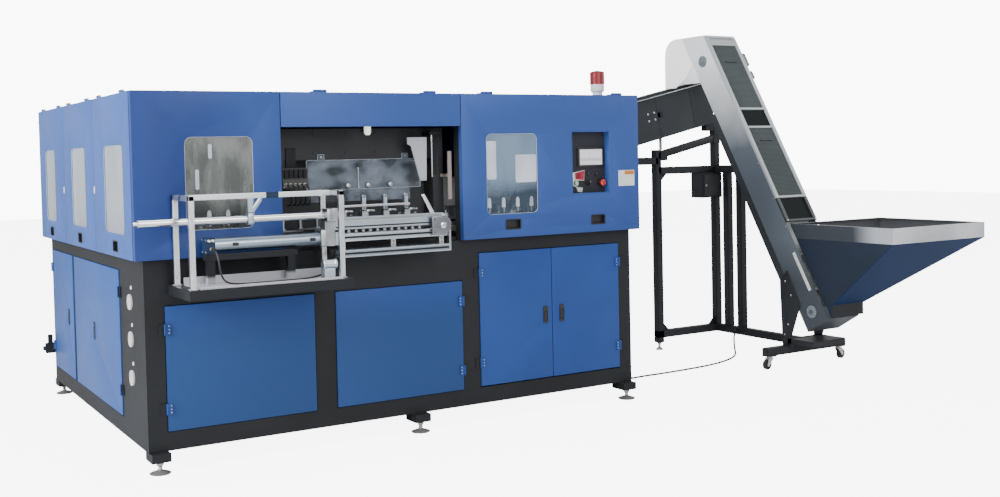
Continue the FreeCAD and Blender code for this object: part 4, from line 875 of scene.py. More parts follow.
def makeHoodDoor(name, door):
    kit, place, h = startKit(), door.get("place", facingFront), hood
    blue, pulls, v = door.get("blue", "hoodFrontBlue"), door.get("pulls", []), door.get("v", h["v"])
    openings = [roundedRect(*door["window"], h["windowRadius"], 10)] if "window" in door else []
    openings += [cupOutline(*pull, 4, 5, 3) for pull in pulls]
    if "recess" in door:
        openings.append(roundedRect(*door["recess"], 3, 3))
    foldedPanel(kit, blue, door["u"], v, openings, place, 0, h["depth"])
    for reflectionSpot in door.get("films", []):  # painted reflections: pale patches on the panes
        plate(kit, "paleFilm", [roundedRect(*reflectionSpot, 9, 5)], 4.2, 4.9, place, 0.2)
    if "window" in door:
        makeWindow(kit, door, place)
    for pull in pulls:
        cupPull(kit, *pull, place)
    for u in door.get("hinges", []):
        def alongHinge(p, q, s):
            return place(s, h["barrelUp"] + q, h["barrelIn"] + p)
        knuckles(kit, blue, u, h["barrelLength"], 6.8, 0.6, (1.2, 1.2), alongHinge)
        pin = [(0, u - 2), (4, u - 1.6), (4, u + h["barrelLength"] + 1.6), (0, u + h["barrelLength"] + 2)]
        lathe(kit, "zincPlated", pin, sides=14, place=alongHinge)
        block(kit, blue, (u, v[1] - 4, 3), (u + h["barrelLength"], h["barrelUp"], 10.6), 0.8, 1, place)
    finishKit(kit, name.replace("_", "") + "Dressed", door["body"], (name,))


for doorName, doorValues in hoodDoors.items():
    makeHoodDoor(doorName, doorValues)

print("stage: base doors")
lowDoor = {"v": (212, 871), "heights": (300, 720), "blue": "lowerDoorBlue", "place": facingFront}
tallDoor = {"v": (216, 1031), "heights": (330, 880), "blue": "doorBlue", "place": facingFront}
sideDoor = dict(tallDoor, blue="sideDoorBlue", place=facingLeft)
baseDoors = {
    "lower_door_left": dict(lowDoor, u=(157, 990), hinge=153),
    "lower_door_middle": dict(lowDoor, u=(1119, 1941), hinge=1945),
    "cabinet_door_left": dict(tallDoor, u=(2064, 2590), hinge=2060, lock=2541),
    "cabinet_door_right": dict(tallDoor, u=(2594, 3120), hinge=3124, lock=2665),
    "side_door_front": dict(sideDoor, u=(579, 1796), hinge=575, lock=1238),
    "side_door_rear": dict(sideDoor, u=(1854, 2531), hinge=2535, lock=2009),
}
doorFront, doorDepth, hingeHeight = 46, 30, 60


def makeBaseDoor(name, door):
    kit, place, front, lock, hinge = startKit(), door["place"], doorFront, door.get("lock"), door["hinge"]
    openings = [roundedRect(lock - 15, lock + 15, 562, 666, 5, 4)] if lock else []
    foldedPanel(kit, door["blue"], door["u"], door["v"], openings, place, front, doorDepth)
    toward = 1 if door["u"][0] >= hinge else -1
    for height in door["heights"]:
        knuckles(kit, "doorBlue", height, hingeHeight, 5.9, 0.5, (0.9, 1),
                 lambda p, q, s: place(hinge + p, s, front - 6 + q))
        near, far = sorted((hinge, hinge + 30 * toward))
        block(kit, "doorBlue", (near, height, front - 5.6), (far, height + hingeHeight, front), 0.8, 1, place)
        heads = [(hinge + 21 * toward, height + rise, front - 5.6) for rise in (12, 30, 48)]
        bolts(kit, "zincPlated", heads, outward, 3.4, 2.4, 10, place)
    if lock:  # a flush swing handle in a rounded black plate
        body = roundedRect(lock - 17, lock + 17, 560, 668, 8, 5)
        well = roundedRect(lock - 11, lock + 11, 574, 640, 6, 4)
        plate(kit, "blackPlastic", [body, well], front - 4, front + 3, place, 1.4, 2)
        plate(kit, "blackPlastic", [body], front + 3, front + 12, place, 1)
        handle = roundedRect(lock - 8, lock + 8, 578, 636, 7, 5)
        plate(kit, "blackPlastic", [handle], front - 3.4, front + 3, place, 1.2, 2)
        barrel = [(0, -3.8), (6, -3.8), (7, -2.8), (7, 4), (0, 4)]
        lathe(kit, "zincPlated", barrel, (lock, 653, front), 20, place)
        block(kit, "blackPlastic", (lock - 1, 649, front - 4.2), (lock + 1, 657, front - 3), 0, 1, place)
    finishKit(kit, name.replace("_", "") + "Dressed", name + "_leaf", (name,))


for doorName, doorValues in baseDoors.items():
    makeBaseDoor(doorName, doorValues)

print("stage: feet, gauges and base trim")
base = {"left": 52, "front": 52, "feetX": (105, 1635, 3165), "feetY": (40, 2590)}


def makeFeet():
    kit = startKit()
    for x in base["feetX"]:
        for y in base["feetY"]:
            profile = [(0, 0), (52, 0), (56, 3), (55, 6), (34, 14), (16, 19), (15, 22), (0, 22)]
            lathe(kit, "footGrey", profile, (x, y, 0), 36)
            thread = [(0, 20)]
            for k in range(9):
                thread += [(11.8, 20 + 5 * k), (10.4, 22.5 + 5 * k)]
            lathe(kit, "zincPlated", thread + [(10.4, 64), (0, 64)], (x, y, 0), 20)
            lathe(kit, "zincPlated", [(0, 44), (18, 44), (20, 46), (20, 56), (18, 58), (0, 58)], (x, y, 0), 6)
    finishKit(kit, "levellingFeetDressed", "machine", ("levelling_feet",))


gauge = {"y": 340, "heights": (464, 674, 876), "ticks": 11}


def makeGauges():
    kit, y, x = startKit(), gauge["y"], base["left"]
    for z in gauge["heights"]:
        rim = [(0, 0), (40, 0), (40, 50), (42.4, 50), (42.4, 58), (41, 60), (38, 60), (37, 57.2), (0, 57.2)]
        lathe(kit, "whitePlastic", [(r, 68 - h) for r, h in rim], (y, z, x - 18), 40, facingLeft)
        plate(kit, "paleCream", [circle(y, z, 36.8, 36)], x - 8.4, x - 7.2, facingLeft, 0.3)
        for ends in zip(*(arc(y, z, radius, 225, -27, gauge["ticks"]) for radius in (27, 33))):  # bare ticks
            tube(kit, "blackPlastic", [(x - 8.6, a, b) for a, b in ends], 0.6, sides=1)
        # the red needle carries a painted glow
        tube(kit, "stopRed", [(x - 9, y + 6, z - 5), (x - 9, y - 20, z + 16)], 0.8, sides=1)
        tag = [(y - 38, z + 74), (y - 8, z + 68), (y - 4, z + 86), (y - 34, z + 93)]
        plate(kit, "whitePlastic", [tag], x - 1.6, x - 0.1, facingLeft, 0.4)
    finishKit(kit, "pressureGaugesDressed", "machine", ("pressure_gauges",))


def makeRearFitting():  # the dark water connection low at the rear of the left side
    kit, x = startKit(), base["left"]
    block(kit, "standBlack", (-14, 2553, 300), (x - 0.1, 2591, 372), 4, 2)
    block(kit, "standBlack", (4, 2557, 371), (34, 2587, 430), 3, 2)
    port = [(0, -30), (14, -30), (16, -27), (16, -14), (0, -14)]
    lathe(kit, "blackPlastic", port, (2572, 336, 0), 24, facingLeft)
    finishKit(kit, "rearFitting", "machine")


makeFeet()
makeGauges()
makeRearFitting()

print("stage: operator panel and beacon")
console = {"u": (2738, 3032), "v": (1371, 1762), "back": 60, "screen": (2815, 3025, 1535, 1665), "row": 1434,
           "stop": 3000, "start": 2800, "selector": 2900}


def makeConsole():
    kit, c = startKit(), console
    (u0, u1), (v0, v1), back, row = c["u"], c["v"], c["back"], c["row"]

    def grownRect(by, radius):
        return roundedRect(u0 - by, u1 + by, v0 - by, v1 + by, radius, 4)

    plate(kit, "hoodBlue", [grownRect(12, 8), grownRect(0, 5)], 3.4, back, facingFront, 1)
    plate(kit, "hoodBlue", [grownRect(2.5, 6), grownRect(-0.5, 5)], -1.2, 3.4, facingFront, 0.8)
    sizes = ((c["stop"], 12.5), (c["start"], 12.5), (c["selector"], 9.5))
    holes = [circle(u, row, radius, 24) for u, radius in sizes]
    plate(kit, "consoleDark", [grownRect(11, 8)] + holes, back, back + 3, facingFront, 0.4)
    for u in (u0 + 14, u1 - 14):
        for v in (v0 + 14, v1 - 14):
            screw = [(0, -2.2), (3.4, -2.2), (4.4, -1), (4.4, 0), (0, 0)]
            lathe(kit, "blackPlastic", screw, (u, v, back), 12, facingFront)
    # a bare card with two plain red patches on it, and a small bare label; both red patches carry a faint painted
    # glow
    for skin, outline, rise, sunk, edge in (
            ("paleCream", [(2752, 1496), (2872, 1518), (2868, 1450), (2822, 1452), (2776, 1418), (2754, 1424)],
             1.2, 0.1, 0.3),
            ("patchRed", [(2796, 1500), (2870, 1515), (2866, 1453), (2800, 1459)], 1.6, 0.9, 0.2),
            ("beaconRed", [(2808, 1496), (2840, 1500), (2838, 1466), (2810, 1466)], 2, 1.4, 0.2),
            ("paleCream", [(2806, 1410), (2858, 1404), (2850, 1376), (2818, 1378)], 1.2, 0.1, 0.3)):
        plate(kit, skin, [outline], back - rise, back - sunk, facingFront, edge)
    for u in (2905, 2970):  # two dark buttons
        profile = [(0, -9), (10, -9), (12.5, -7.5), (13, -5), (13, -3), (15.5, -3), (15.5, -0.2), (0, -0.2)]
        lathe(kit, "blackPlastic", profile, (u, 1490, back), 28, facingFront)
    ring = [(16.5, 0), (21.5, 0), (23, -1.5), (23, -3.2), (16.5, -3.2)]
    for u, skin in ((c["start"], "greenRing"), (c["selector"], "blackPlastic")):
        lathe(kit, skin, ring, (u, row, back), 32, facingFront)
    collar = [(23.5, -0.2), (34, -0.2), (34, -1.6), (23.5, -1.6)]
    lathe(kit, "blackPlastic", collar, (c["stop"], row, back), 36, facingFront)
    finishKit(kit, "operatorPanelDressed", "front_right_leaf", ("hmi_console",))


def makeScreen():
    kit, back = startKit(), console["back"]
    u0, u1, v0, v1 = console["screen"]
    shell = roundedRect(u0, u1, v0, v1, 7, 5)
    view = roundedRect(u0 + 17, u1 - 16, v0 + 15, v1 - 14, 3, 3)
    plate(kit, "blackPlastic", [shell, view], back - 10, back - 3, facingFront, 1.2, 2)
    plate(kit, "blackPlastic", [shell], back - 3, back - 0.05, facingFront, 0.6)
    rim = roundedRect(u0 + 20, u1 - 19, v0 + 18, v1 - 17, 2, 3)
    plate(kit, "whitePlastic", [view, rim], back - 9.6, back - 6, facingFront, 0.4)
    plate(kit, "screenPale", [view], back - 8.6, back - 4, facingFront, 0.3)
    # softly lit bare fields of the display
    for skin, a, b, c, d in (("screenField", u0 + 24, u0 + 92, v0 + 62, v1 - 22),
                             ("screenField", u0 + 98, u1 - 24, v0 + 62, v1 - 22),
                             ("screenBar", u0 + 24, u1 - 24, v0 + 42, v0 + 57),
                             ("screenField", u0 + 24, u1 - 24, v0 + 22, v0 + 37)):
        plate(kit, skin, [roundedRect(a, b, c, d, 2, 3)], back - 8.8, back - 8.2, facingFront, 0.1)
    finishKit(kit, "touchScreenDressed", "front_right_leaf", ("touch_screen",))


def makeControls():
    stop, start, selector = ((console[name], console["row"], 0) for name in ("stop", "start", "selector"))
    kit = startKit()  # the mushroom head, turned with a waist and a domed face
    profile = [(0, 24), (8, 24.2), (15, 25.2), (20, 27.4), (22, 30.6), (22, 33.4), (20.6, 35.4), (13.5, 36.6),
               (11, 38), (11, 76), (0, 76)]
    # the red head carries a painted glow
    lathe(kit, "stopRed", profile, stop, 40, facingFront)
    for k in range(3):  # bare strokes round the head
        turns = [math.radians(120 * k + 90) + bend for bend in (-0.5, -0.2, 0.1, 0.4)]
        stroke = [(stop[0] + 15 * math.cos(turn), 25.6, stop[1] + 15 * math.sin(turn)) for turn in turns]
        tube(kit, "whitePlastic", stroke, 0.7, sides=1)
    finishKit(kit, "stopButtonDressed", "stop_button", ("emergency_stop",))
    kit = startKit()
    profile = [(0, 46), (9.5, 46.2), (12.6, 47.2), (14, 49.4), (14, 54), (11, 54), (11, 74), (0, 74)]
    lathe(kit, "blackPlastic", profile, start, 36, facingFront)
    lathe(kit, "greenRing", [(9.8, 46), (11.8, 46.5), (11.8, 47.4), (9.8, 47.4)], start, 36, facingFront)
    finishKit(kit, "startButtonDressed", "start_push", ("start_button",))
    kit = startKit()
    profile = [(0, 46.2), (13.4, 46.2), (15, 47.6), (15, 54), (8, 54), (8, 76), (0, 76)]
    lathe(kit, "blackPlastic", profile, selector, 36, facingFront)
    plate(kit, "blackPlastic", [roundedRect(2896, 2904, 1420, 1448, 3.6, 5)], 34, 46.8, facingFront, 1.2, 2)
    plate(kit, "whitePlastic", [roundedRect(2899, 2901, 1438, 1446, 0.9, 3)], 33.9, 35, facingFront, 0.05)
    finishKit(kit, "modeSelectorDressed", "selector_knob", ("mode_selector",))


beacon = {"foot": (3010, 90, 2000), "ribs": 24, "ribRadius": 44.2, "rings": 8}


def makeBeacon():
    foot = beacon["foot"]
    kit = startKit()
    profile = [(0, 0.05), (34, 0.05), (34, 8), (32, 9), (32, 18), (34, 21), (43, 26), (44.5, 29), (44.5, 70),
               (43, 72), (0, 72)]
    lathe(kit, "whitePlastic", profile, foot, 56)
    for x, y in circle(foot[0], foot[1], beacon["ribRadius"], beacon["ribs"]):  # grip ribs
        tube(kit, "whitePlastic", [(x, y, 2033), (x, y, 2066)], 1.2, sides=1)
    finishKit(kit, "beaconBaseDressed", "machine", ("beacon_base",))
    kit = startKit()
    profile = [(0, 72.05), (46.6, 72.05), (48, 73.5)]
    for k in range(beacon["rings"]):
        z = 77 + 9 * k
        profile += [(48, z), (46.4, z + 3), (46.4, z + 4.6), (48, z + 7.6)]
    profile += [(47.2, 150.6), (42, 152.4), (30, 156.5), (16, 160), (0, 162.6)]
    lathe(kit, "beaconRed", profile, foot, 72)
    finishKit(kit, "beaconLensDressed", "machine", ("beacon_lens",))


makeConsole()
makeScreen()
makeControls()
makeBeacon()

print("stage: labels and small plates")


def makeLabels():
    kit = startKit()  # bare label plates riveted to the front right door
    block(kit, "whitePlastic", (3100, -1.6, 1408), (3230, 0, 1510), 0.5, 1)
    block(kit, "orangeLabel", (3150, -2, 1482), (3226, -1.4, 1506), 0.3, 1)
    for u in (3106, 3224):
        for v in (1414, 1504):
            lathe(kit, "zincPlated", [(0, -3), (1.8, -2.8), (2.6, -1.8), (2.6, -0.6), (0, -0.6)], (u, v, 0),
                  10, facingFront)
    finishKit(kit, "doorLabel", "front_right_leaf")
    for index, (y, z) in enumerate(((890, 1475), (1783, 1462))):
        kit = startKit()
        block(kit, "whitePlastic", (-1.4, y - 13, z - 20), (0, y + 13, z + 20), 0.5, 1)
        finishKit(kit, "sideLabel%d" % (index + 2), "side_lift_leaf_%d" % (index + 2))


makeLabels()

print("stage: take-out unit in the front bay")
bay = {"shelfTop": 985, "tube": 28, "left": 191, "right": 1010, "height": 1428,
       "shaftZ": 1320, "shaftY": -150, "barrelZ": 1190, "barrelY": -100}


def makeTray():
    kit = startKit()
    notches = [roundedRect(x - 3, x + 43, -123, -77, 2, 2) for x in (340, 780)]
    plate(kit, "trayPale", [roundedRect(235, 1000, -338, -42, 3, 3)] + notches, 985.05, 987, plain, 0.5)
    block(kit, "trayPale", (235, -338, 985.05), (1000, -335, 999), 0.7, 1)
    block(kit, "trayPale", (235, -45, 985.05), (1000, -42, 1025), 0.7, 1)
    finishKit(kit, "dischargeTrayDressed", "machine", ("discharge_tray",))
    kit = startKit()
    nodeCopy(kit, "discharge_shelf", lambda centre, normal: "shelfLeg" if centre.z > 990 else "shelfBlack")
    finishKit(kit, "dischargeShelfDressed", "machine", ("discharge_shelf",))


def makeGuard():
    kit, b = startKit(), bay
    size, low, left, right, height, y = b["tube"], b["shelfTop"], b["left"], b["right"], b["height"], b["shaftY"]
    top = height + size
    for x, near in ((left, -324), (left, -39), (right, -290), (right, -39)):
        block(kit, "stainlessUpright", (x, near, low + 6), (x + size, near + size, top), 3, 3)
        foot = roundedRect(x - 8, x + size + 8, near - 6, near + size + 6, 4, 3)
        plate(kit, "zincPlated", [foot], low + 0.05, low + 6, plain, 0.8)
        heads = [(x + dx, near + dy, low + 6) for dx, dy in ((-4, 4), (size + 4, size - 4))]
        bolts(kit, "zincPlated", heads, up, 3.6, 3.4)
    for x0, x1, y0, y1 in ((left, left + size, -324, -11), (right, right + size, -290, -11),
                           (left, right + size, y - 24, y + 4)):
        block(kit, "stainless", (x0, y0, height), (x1, y1, top), 3, 3)
    # the shaft's bearing block, hung from the long bar with a slanted arm
    body = roundedRect(y - 30, y + 30, 1287, 1355, 20, 8)
    plate(kit, "anodised", [body, circle(y, b["shaftZ"], 20.6, 40)], 545, 575, facingLeft, 1.6, 2)
    block(kit, "anodised", (546, y - 24, 1354), (574, y + 4, height), 1.6, 2)
    arm = [(566, 1352), (584, 1358), (626, 1412), (626, height), (608, height), (566, 1372)]
    plate(kit, "anodised", [arm], y - 16, y - 4, facingFront, 1.2, 2)
    heads = [(544.9, y + dy, b["shaftZ"] + dz) for dy in (-24, 24) for dz in (-16, 16)]
    bolts(kit, "blackPlastic", heads, leftward, 4.2, 3)
    for skin, x0, x1, wrap, drop, rise, edge in (  # dark clips and a white cap on the long bar
            ("capNavy", 646, 716, 2.5, 3, 2, 2.4), ("whitePlastic", 940, 966, 1.5, 2, 2, 2.4),
            ("blackPlastic", right - 2, right + size + 1.5, 1.5, 3, 1.5, 2)):
        block(kit, skin, (x0, y - 24 - wrap, height - drop), (x1, y + 4 + wrap, top + rise), edge, 2)
    finishKit(kit, "guardFrameDressed", "machine", ("guard_frame",))


def makeCylinder():
    kit, b = startKit(), bay
    y, z = b["barrelY"], b["barrelZ"]
    barrel = [(0, 370), (35.2, 370), (36, 371), (36, 1054), (35.2, 1055), (0, 1055)]
    lathe(kit, "barrelGrey", barrel, (0, y, z), 64, axis=rightward)
    for skin, x0, x1, dy, z0, z1 in (
            ("capNavy", 330, 378, 40, 1145, 1228), ("anodised", 1048, 1070, 38, 1150, 1222)):
        block(kit, skin, (x0, y - dy, z0), (x1, y + dy, z1), 3, 3)
        heads = [(x0, y + a, c) for a in (-dy + 9, dy - 9) for c in (z0 + 10, z1 - 10)]
        bolts(kit, "zincPlated", heads, leftward, 4.4, 3.2, 6)
    for x in (342, 362):  # pale push-in fittings
        profile = [(0, 0), (6.9, 0), (6.9, 6), (5.4, 7), (5.4, 12), (6.6, 13), (6.6, 18), (0, 18)]
        lathe(kit, "whitePlastic", profile, (x, y - 40, 1215), 20, axis=forward)
    profile = [(0, 0), (9, 0), (9, 12), (7.4, 13), (7.4, 24), (8.8, 25), (8.8, 34), (0, 34)]
    lathe(kit, "zincPlated", profile, (354, y - 40, 1172), 6, axis=forward)
    # the small actuator that stands on the tray
    block(kit, "anodised", (904, -326, 987), (964, -272, 1046), 3, 3)
    profile = [(0, 0), (24, 0), (26, 2), (26, 14), (23.5, 16), (23.5, 62), (26, 64), (26, 76), (24, 78), (0, 78)]
    lathe(kit, "anodised", profile, (902, -299, 1066), 40, axis=rightward)
    bolts(kit, "zincPlated", [(x, -326, z) for x in (914, 954) for z in (997, 1034)], forward, 4, 3)
    heads = [(901.9, -299 + a, 1066 + c) for a in (-14, 14) for c in (-14, 14)]
    bolts(kit, "blackPlastic", heads, leftward, 3.2, 2)
    for x in (470, 900):  # sensors on the front of the barrel
        block(kit, "blackPlastic", (x, y - 39, z - 9), (x + 34, y - 33, z + 9), 2, 2)
    finishKit(kit, "takeoutCylinderDressed", "machine", ("takeout_cylinder",))


def makeShaft():
    kit, b = startKit(), bay
    profile = [(0, -40), (9.4, -40), (11, -38), (11, -18), (18.6, -18), (20, -16), (20, 1058), (18.6, 1060),
               (0, 1060)]
    lathe(kit, "chromed", profile, (0, b["shaftY"], b["shaftZ"]), 56, axis=rightward)
    finishKit(kit, "takeoutShaftDressed", "takeout", ("takeout_shaft",))


grippers = {"count": 4, "first": 1112, "pitch": 132}


def jaw(x):
    root, tip, top = -95, -192, -160
    half = [(16, root), (28, -140), (28, tip + 12), (26, tip + 6), (20, tip), (13, tip), (14, -170), (15, top),
            (12, -151), (7, -146)]
    return [(x + u, v) for u, v in half] + [(x - u, v) for u, v in reversed(half)]


def makeBeam():
    kit, b = startKit(), bay
    shuttle = [roundedRect(-150, -55, 1148, 1240, 5, 4), circle(b["barrelY"], b["barrelZ"], 36.6, 48)]
    plate(kit, "mouldAlloy", shuttle, 962, 1042, facingLeft, 2, 2)
    clamp = [roundedRect(-185, -115, 1284, 1356, 8, 4), circle(b["shaftY"], b["shaftZ"], 20.4, 40)]
    plate(kit, "mouldAlloy", clamp, 985, 1060, facingLeft, 2, 2)
    heads = [(984.9, b["shaftY"] + a, b["shaftZ"] + c) for a in (-26, 26) for c in (-27, 27)]
    bolts(kit, "blackPlastic", heads, leftward, 4.4, 4)
    block(kit, "mouldAlloy", (985, -150, 1238), (1042, -115, 1286), 1.5)
    block(kit, "mouldAlloy", (1000, -118, 1240), (1062, -60, 1300), 1.5, 2)
    block(kit, "anodised", (1042, -110, 1232), (1740, -60, 1300), 2, 2)
    profile = [(0, 0), (38.8, 0), (40, 1.4), (40, 58.6), (38.8, 60), (0, 60)]
    lathe(kit, "mouldAlloy", profile, (1740, -85, 1236), 48)
    for index in range(grippers["count"]):
        x = grippers["first"] + grippers["pitch"] * index
        block(kit, "mouldAlloy", (x - 18, -110, 1298), (x + 18, -60, 1330), 1.6, 2)
        block(kit, "anodised", (x - 11, -100, 1329), (x + 11, -70, 1416), 2.4, 2)
        lathe(kit, "zincPlated", [(0, 0), (7, 0), (7, 3), (4.4, 4), (0, 4)], (x, -85, 1416), 6)
        plate(kit, "chromed", [jaw(x)], 1330, 1338, plain, 0.8)
        bolts(kit, "blackPlastic", [(x - 12, -118, 1338), (x + 12, -118, 1338)], up, 4, 3.6)
        for z in (1342, 1404):
            block(kit, "blackPlastic", (x - 4, -106, z), (x + 4, -99, z + 8), 1)
    block(kit, "chromed", (1094, -110, 1354), (1526, -100, 1366), 2, 3)
    arm = [(1600, 1408), (1620, 1412), (1684, 1299), (1658, 1299)]
    plate(kit, "stainless", [arm], -109, -101, facingFront, 1, 2)
    bolts(kit, "zincPlated", [(1612, -109, 1396), (1664, -109, 1308)], forward, 5, 3.6)
    block(kit, "blackRubber", (1064, -110.8, 1242), (1736, -109.4, 1250), 0.4)
    block(kit, "chromed", (1064, -112.4, 1282), (1738, -109.4, 1292), 1.2, 2)
    slots = [(1090 + 66 * k, -110, 1266) for k in range(10)]
    bolts(kit, "zincPlated", slots, forward, 4.6, 3.4)
    finishKit(kit, "takeoutBeamDressed", "takeout", ("takeout_beam",))


rails = {"left": 1070, "right": 1760, "rollers": 12, "rollerFirst": 1098, "rollerPitch": 44, "rollerZ": 1220.5}


def makeTransferRail():
    kit, left, right = startKit(), rails["left"], rails["right"]
    for skin, y0, y1, z0, z1 in (("anodised", -120, -50, 1165, 1210), ("barrelGrey", -140, -60, 1078, 1120)):
        groove = (z0 + z1) / 2
        shape = [(y0, z0), (y1, z0), (y1, z1), (y0, z1), (y0, groove + 6), (y0 + 6, groove + 6),
                 (y0 + 6, groove - 6), (y0, groove - 6)]
        plate(kit, skin, [shape], left, right, facingLeft, 0.8)
        block(kit, "blackRubber", (left + 2, y0 + 4.6, groove - 5.4), (right - 2, y0 + 6.4, groove + 5.4), 0.4)
        for z in (z0 + 5, z1 - 5):
            tube(kit, "chromed", [(left + 1, y0 + 0.4, z), (right - 1, y0 + 0.4, z)], 2.2, sides=2)
    plate(kit, "mouldAlloy", [roundedRect(-140, -50, 1078, 1215, 5, 4)], right, right + 12, facingLeft, 1.2)
    heads = [(right + 12, y, z) for y, z in ((-85, 1187), (-100, 1099), (-120, 1099))]
    bolts(kit, "blackPlastic", heads, rightward, 5, 4)
    cover = [(1650, 1282), (1650, 1174)] + arc(1722, 1228, 54, -90, 7.5, 25)
    plate(kit, "coverSteel", [cover], -143, -129, facingFront, 4.5, 4)
    block(kit, "mouldAlloy", (1664, -130, 1170), (1750, -119.9, 1206), 1.2)
    knob = [(0, -146.4), (15, -146.4), (18, -144.6), (18, -142), (0, -142)]
    lathe(kit, "chromed", knob, (1722, 1228, 0), 32, facingFront)
    bolts(kit, "blackPlastic", [(1664, -143, z) for z in (1190, 1266)], forward, 4.6, 3)
    for x in (1090, 1400, 1710):
        block(kit, "zincPlated", (x, -110, 1119), (x + 30, -60, 1166), 1.5)
        block(kit, "zincPlated", (x, -60, 1080), (x + 30, base["front"] - 0.05, 1108), 1.5)
        bolts(kit, "blackPlastic", [(x + 15, -110, 1131), (x + 15, -110, 1152)], forward, 4.6, 3.6)
    for k in range(rails["rollers"]):  # guide rollers on the rail, just clear of the beam above
        x = rails["rollerFirst"] + rails["rollerPitch"] * k
        roller = [(0, -113), (7.6, -113), (8.6, -112), (8.6, -96), (0, -96)]
        lathe(kit, "chromed", roller, (x, rails["rollerZ"], 0), 20, facingFront)
        block(kit, "blackPlastic", (x - 4, -109, 1209.9), (x + 4, -98, 1216), 0.8)
    finishKit(kit, "transferRailDressed", "machine", ("transfer_rail",))


makeTray()
makeGuard()
makeCylinder()
makeShaft()
makeBeam()
makeTransferRail()

print("stage: preforms, guard sheet and fittings behind the opening")


preformRow = {"first": 440, "pitch": 104, "y": 150, "stations": (0, 1, 16, 17, 18, 19, 20)}


def makePreforms():
    kit, row = startKit(), preformRow
    profile = [(0, 1300.05), (12.6, 1300.05), (13, 1301), (13, 1304), (11.8, 1305), (11.8, 1312), (13, 1313),
               (13, 1316), (11.4, 1317), (11.4, 1343), (10.2, 1350), (7.4, 1356.5), (3.4, 1360.2), (0, 1361)]
    for station in row["stations"]:
        # the preforms carry a painted glow
        lathe(kit, "preformWhite", profile, (row["first"] + row["pitch"] * station, row["y"], 0), 28)
    finishKit(kit, "preformsDressed", "machine", ("preforms",))


def makeGuardSheet():
    kit = startKit()
    outline = [(1036, 1446), (1754, 1446), (1760, 1452), (1760, 1612), (1754, 1618), (1680, 1618), (1680, 1650),
               (1640, 1650), (1640, 1618), (1140, 1618), (1140, 1650), (1100, 1650), (1100, 1618), (1036, 1618),
               (1030, 1612), (1030, 1452)]
    plate(kit, "guardSheet", [outline], 210, 215, facingFront, 0.5)
    block(kit, "guardSheet", (1040, 211, 1376), (1690, 214, 1446.5), 0.5)
    tube(kit, "clearEdge", [(x, 212, z) for x, z in outline], 1.6, sides=2, closed=True)
    bolts(kit, "zincPlated", [(x, 210, 1636) for x in (1120, 1660)], forward, 8, 4)
    for x in (1281, 1409, 1553):  # round knobs along its foot
        knob = [(0, 190), (8, 190.4), (13, 192.4), (15, 196), (13, 199.4), (8, 201), (6, 210), (0, 210)]
        lathe(kit, "mouldAlloy", knob, (x, 1466, 0), 28, facingFront)
    tube(kit, "chromed", [(1350, 206, 1450), (1350, 206, 1572)], 3.6)
    bolts(kit, "zincPlated", [(1350, 210, z) for z in (1456, 1566)], forward, 7, 7.4)
    finishKit(kit, "guardSheetDressed", "machine", ("clear_guard",))


def makeValveBlock():  # a valve block hung from the clamp's upper beam, left of the sheet
    kit = startKit()
    block(kit, "blockGrey", (862, 150, 1462), (1016, 206, 1576), 3, 2)
    block(kit, "innerDark", (905, 206, 1500), (965, 214.8, 1690), 1.2)
    port = 1484
    for k in range(5):  # valves in a row, each with its port and hose
        x = 880 + 28 * k
        block(kit, "innerDark", (x - 11, 136, 1520), (x + 11, 150.2, 1570), 1.6, 2)
        lathe(kit, "zincPlated", [(0, 132), (6, 132), (7, 134), (7, 144), (9, 145), (9, 150), (0, 150)],
              (x, port, 0), 16, facingFront)
        hose = [(0, 134, 0), (2, 112, 0), (6, 100, -26), (16, 110, -74), (30, 150, -110), (34, 200, -120),
                (34, 214.9, -121)]
        tube(kit, "blackRubber", [(x + dx, y, port + dz) for dx, y, dz in hose], 4, curved=True)
    bolts(kit, "zincPlated", [(870, 150, z) for z in (1470, 1568)], forward, 4, 3)
    finishKit(kit, "valveBlock", "machine")


makePreforms()
makeGuardSheet()
makeValveBlock()

print("stage: mandrel chain")
chain = {"pitch": 104, "teeth": 12, "links": 20, "left": 440, "front": 150, "height": 1218, "plate": 8}


def chainPins():
    c = chain
    reach = c["pitch"] / (2 * math.sin(math.pi / c["teeth"]))
    right, middle = c["left"] + c["links"] * c["pitch"], c["front"] + reach
    half, step = c["teeth"] // 2, 360 / c["teeth"]
    front = [(c["left"] + k * c["pitch"], c["front"]) for k in range(c["links"])]
    back = [(right - k * c["pitch"], c["front"] + 2 * reach) for k in range(c["links"])]
    return front + arc(right, middle, reach, -90, step, half) + back + arc(c["left"], middle, reach, 90, step, half)


def template(build):  # a small mesh in millimetres, only used as what a tree copies
    kit = startKit()
    build(kit)
    bm = kit["bm"]
    bmesh.ops.remove_doubles(bm, verts=bm.verts, dist=1e-6)
    bmesh.ops.recalc_face_normals(bm, faces=bm.faces)
    for vert in bm.verts:
        vert.co = (vert.co - hoodCorner) / metresPerMillimetre
    return newObject("template", meshFrom(bm, "template"))


def copies(kit, skin, thing, points, headings):
    grown(kit, skin, "copies", {"template": thing, "size": 1}, points, ("heading", "FLOAT", headings))
    mesh = thing.data
    bpy.data.objects.remove(thing)
    bpy.data.meshes.remove(mesh)


def linkPlate(kit):  # rounded ends and a slight waist, pin to pin along X
    pitch, end, waist, hole = chain["pitch"], 17, 13, 7.8
    outline = []
    for centre, start in ((pitch, -60), (0, 120)):
        outline += arc(centre, 0, end, start, 15, 9) + [(pitch / 2, waist if centre else -waist)]
    plate(kit, "chainSteel", [outline] + [circle(centre, 0, hole, 12) for centre in (0, pitch)], 0, chain["plate"])


def mandrelBody(kit):  # bored through, so that the stretch rods rise in it
    profile = [(7.6, 0), (15.5, 0), (16.5, 1), (16.5, 9), (15.5, 10), (12.4, 10), (12.4, 38), (14.4, 40),
               (14.4, 48), (11, 50), (11, 64.8), (10, 66), (7.6, 66), (7.6, 0)]
    lathe(kit, "chromed", profile, sides=22)


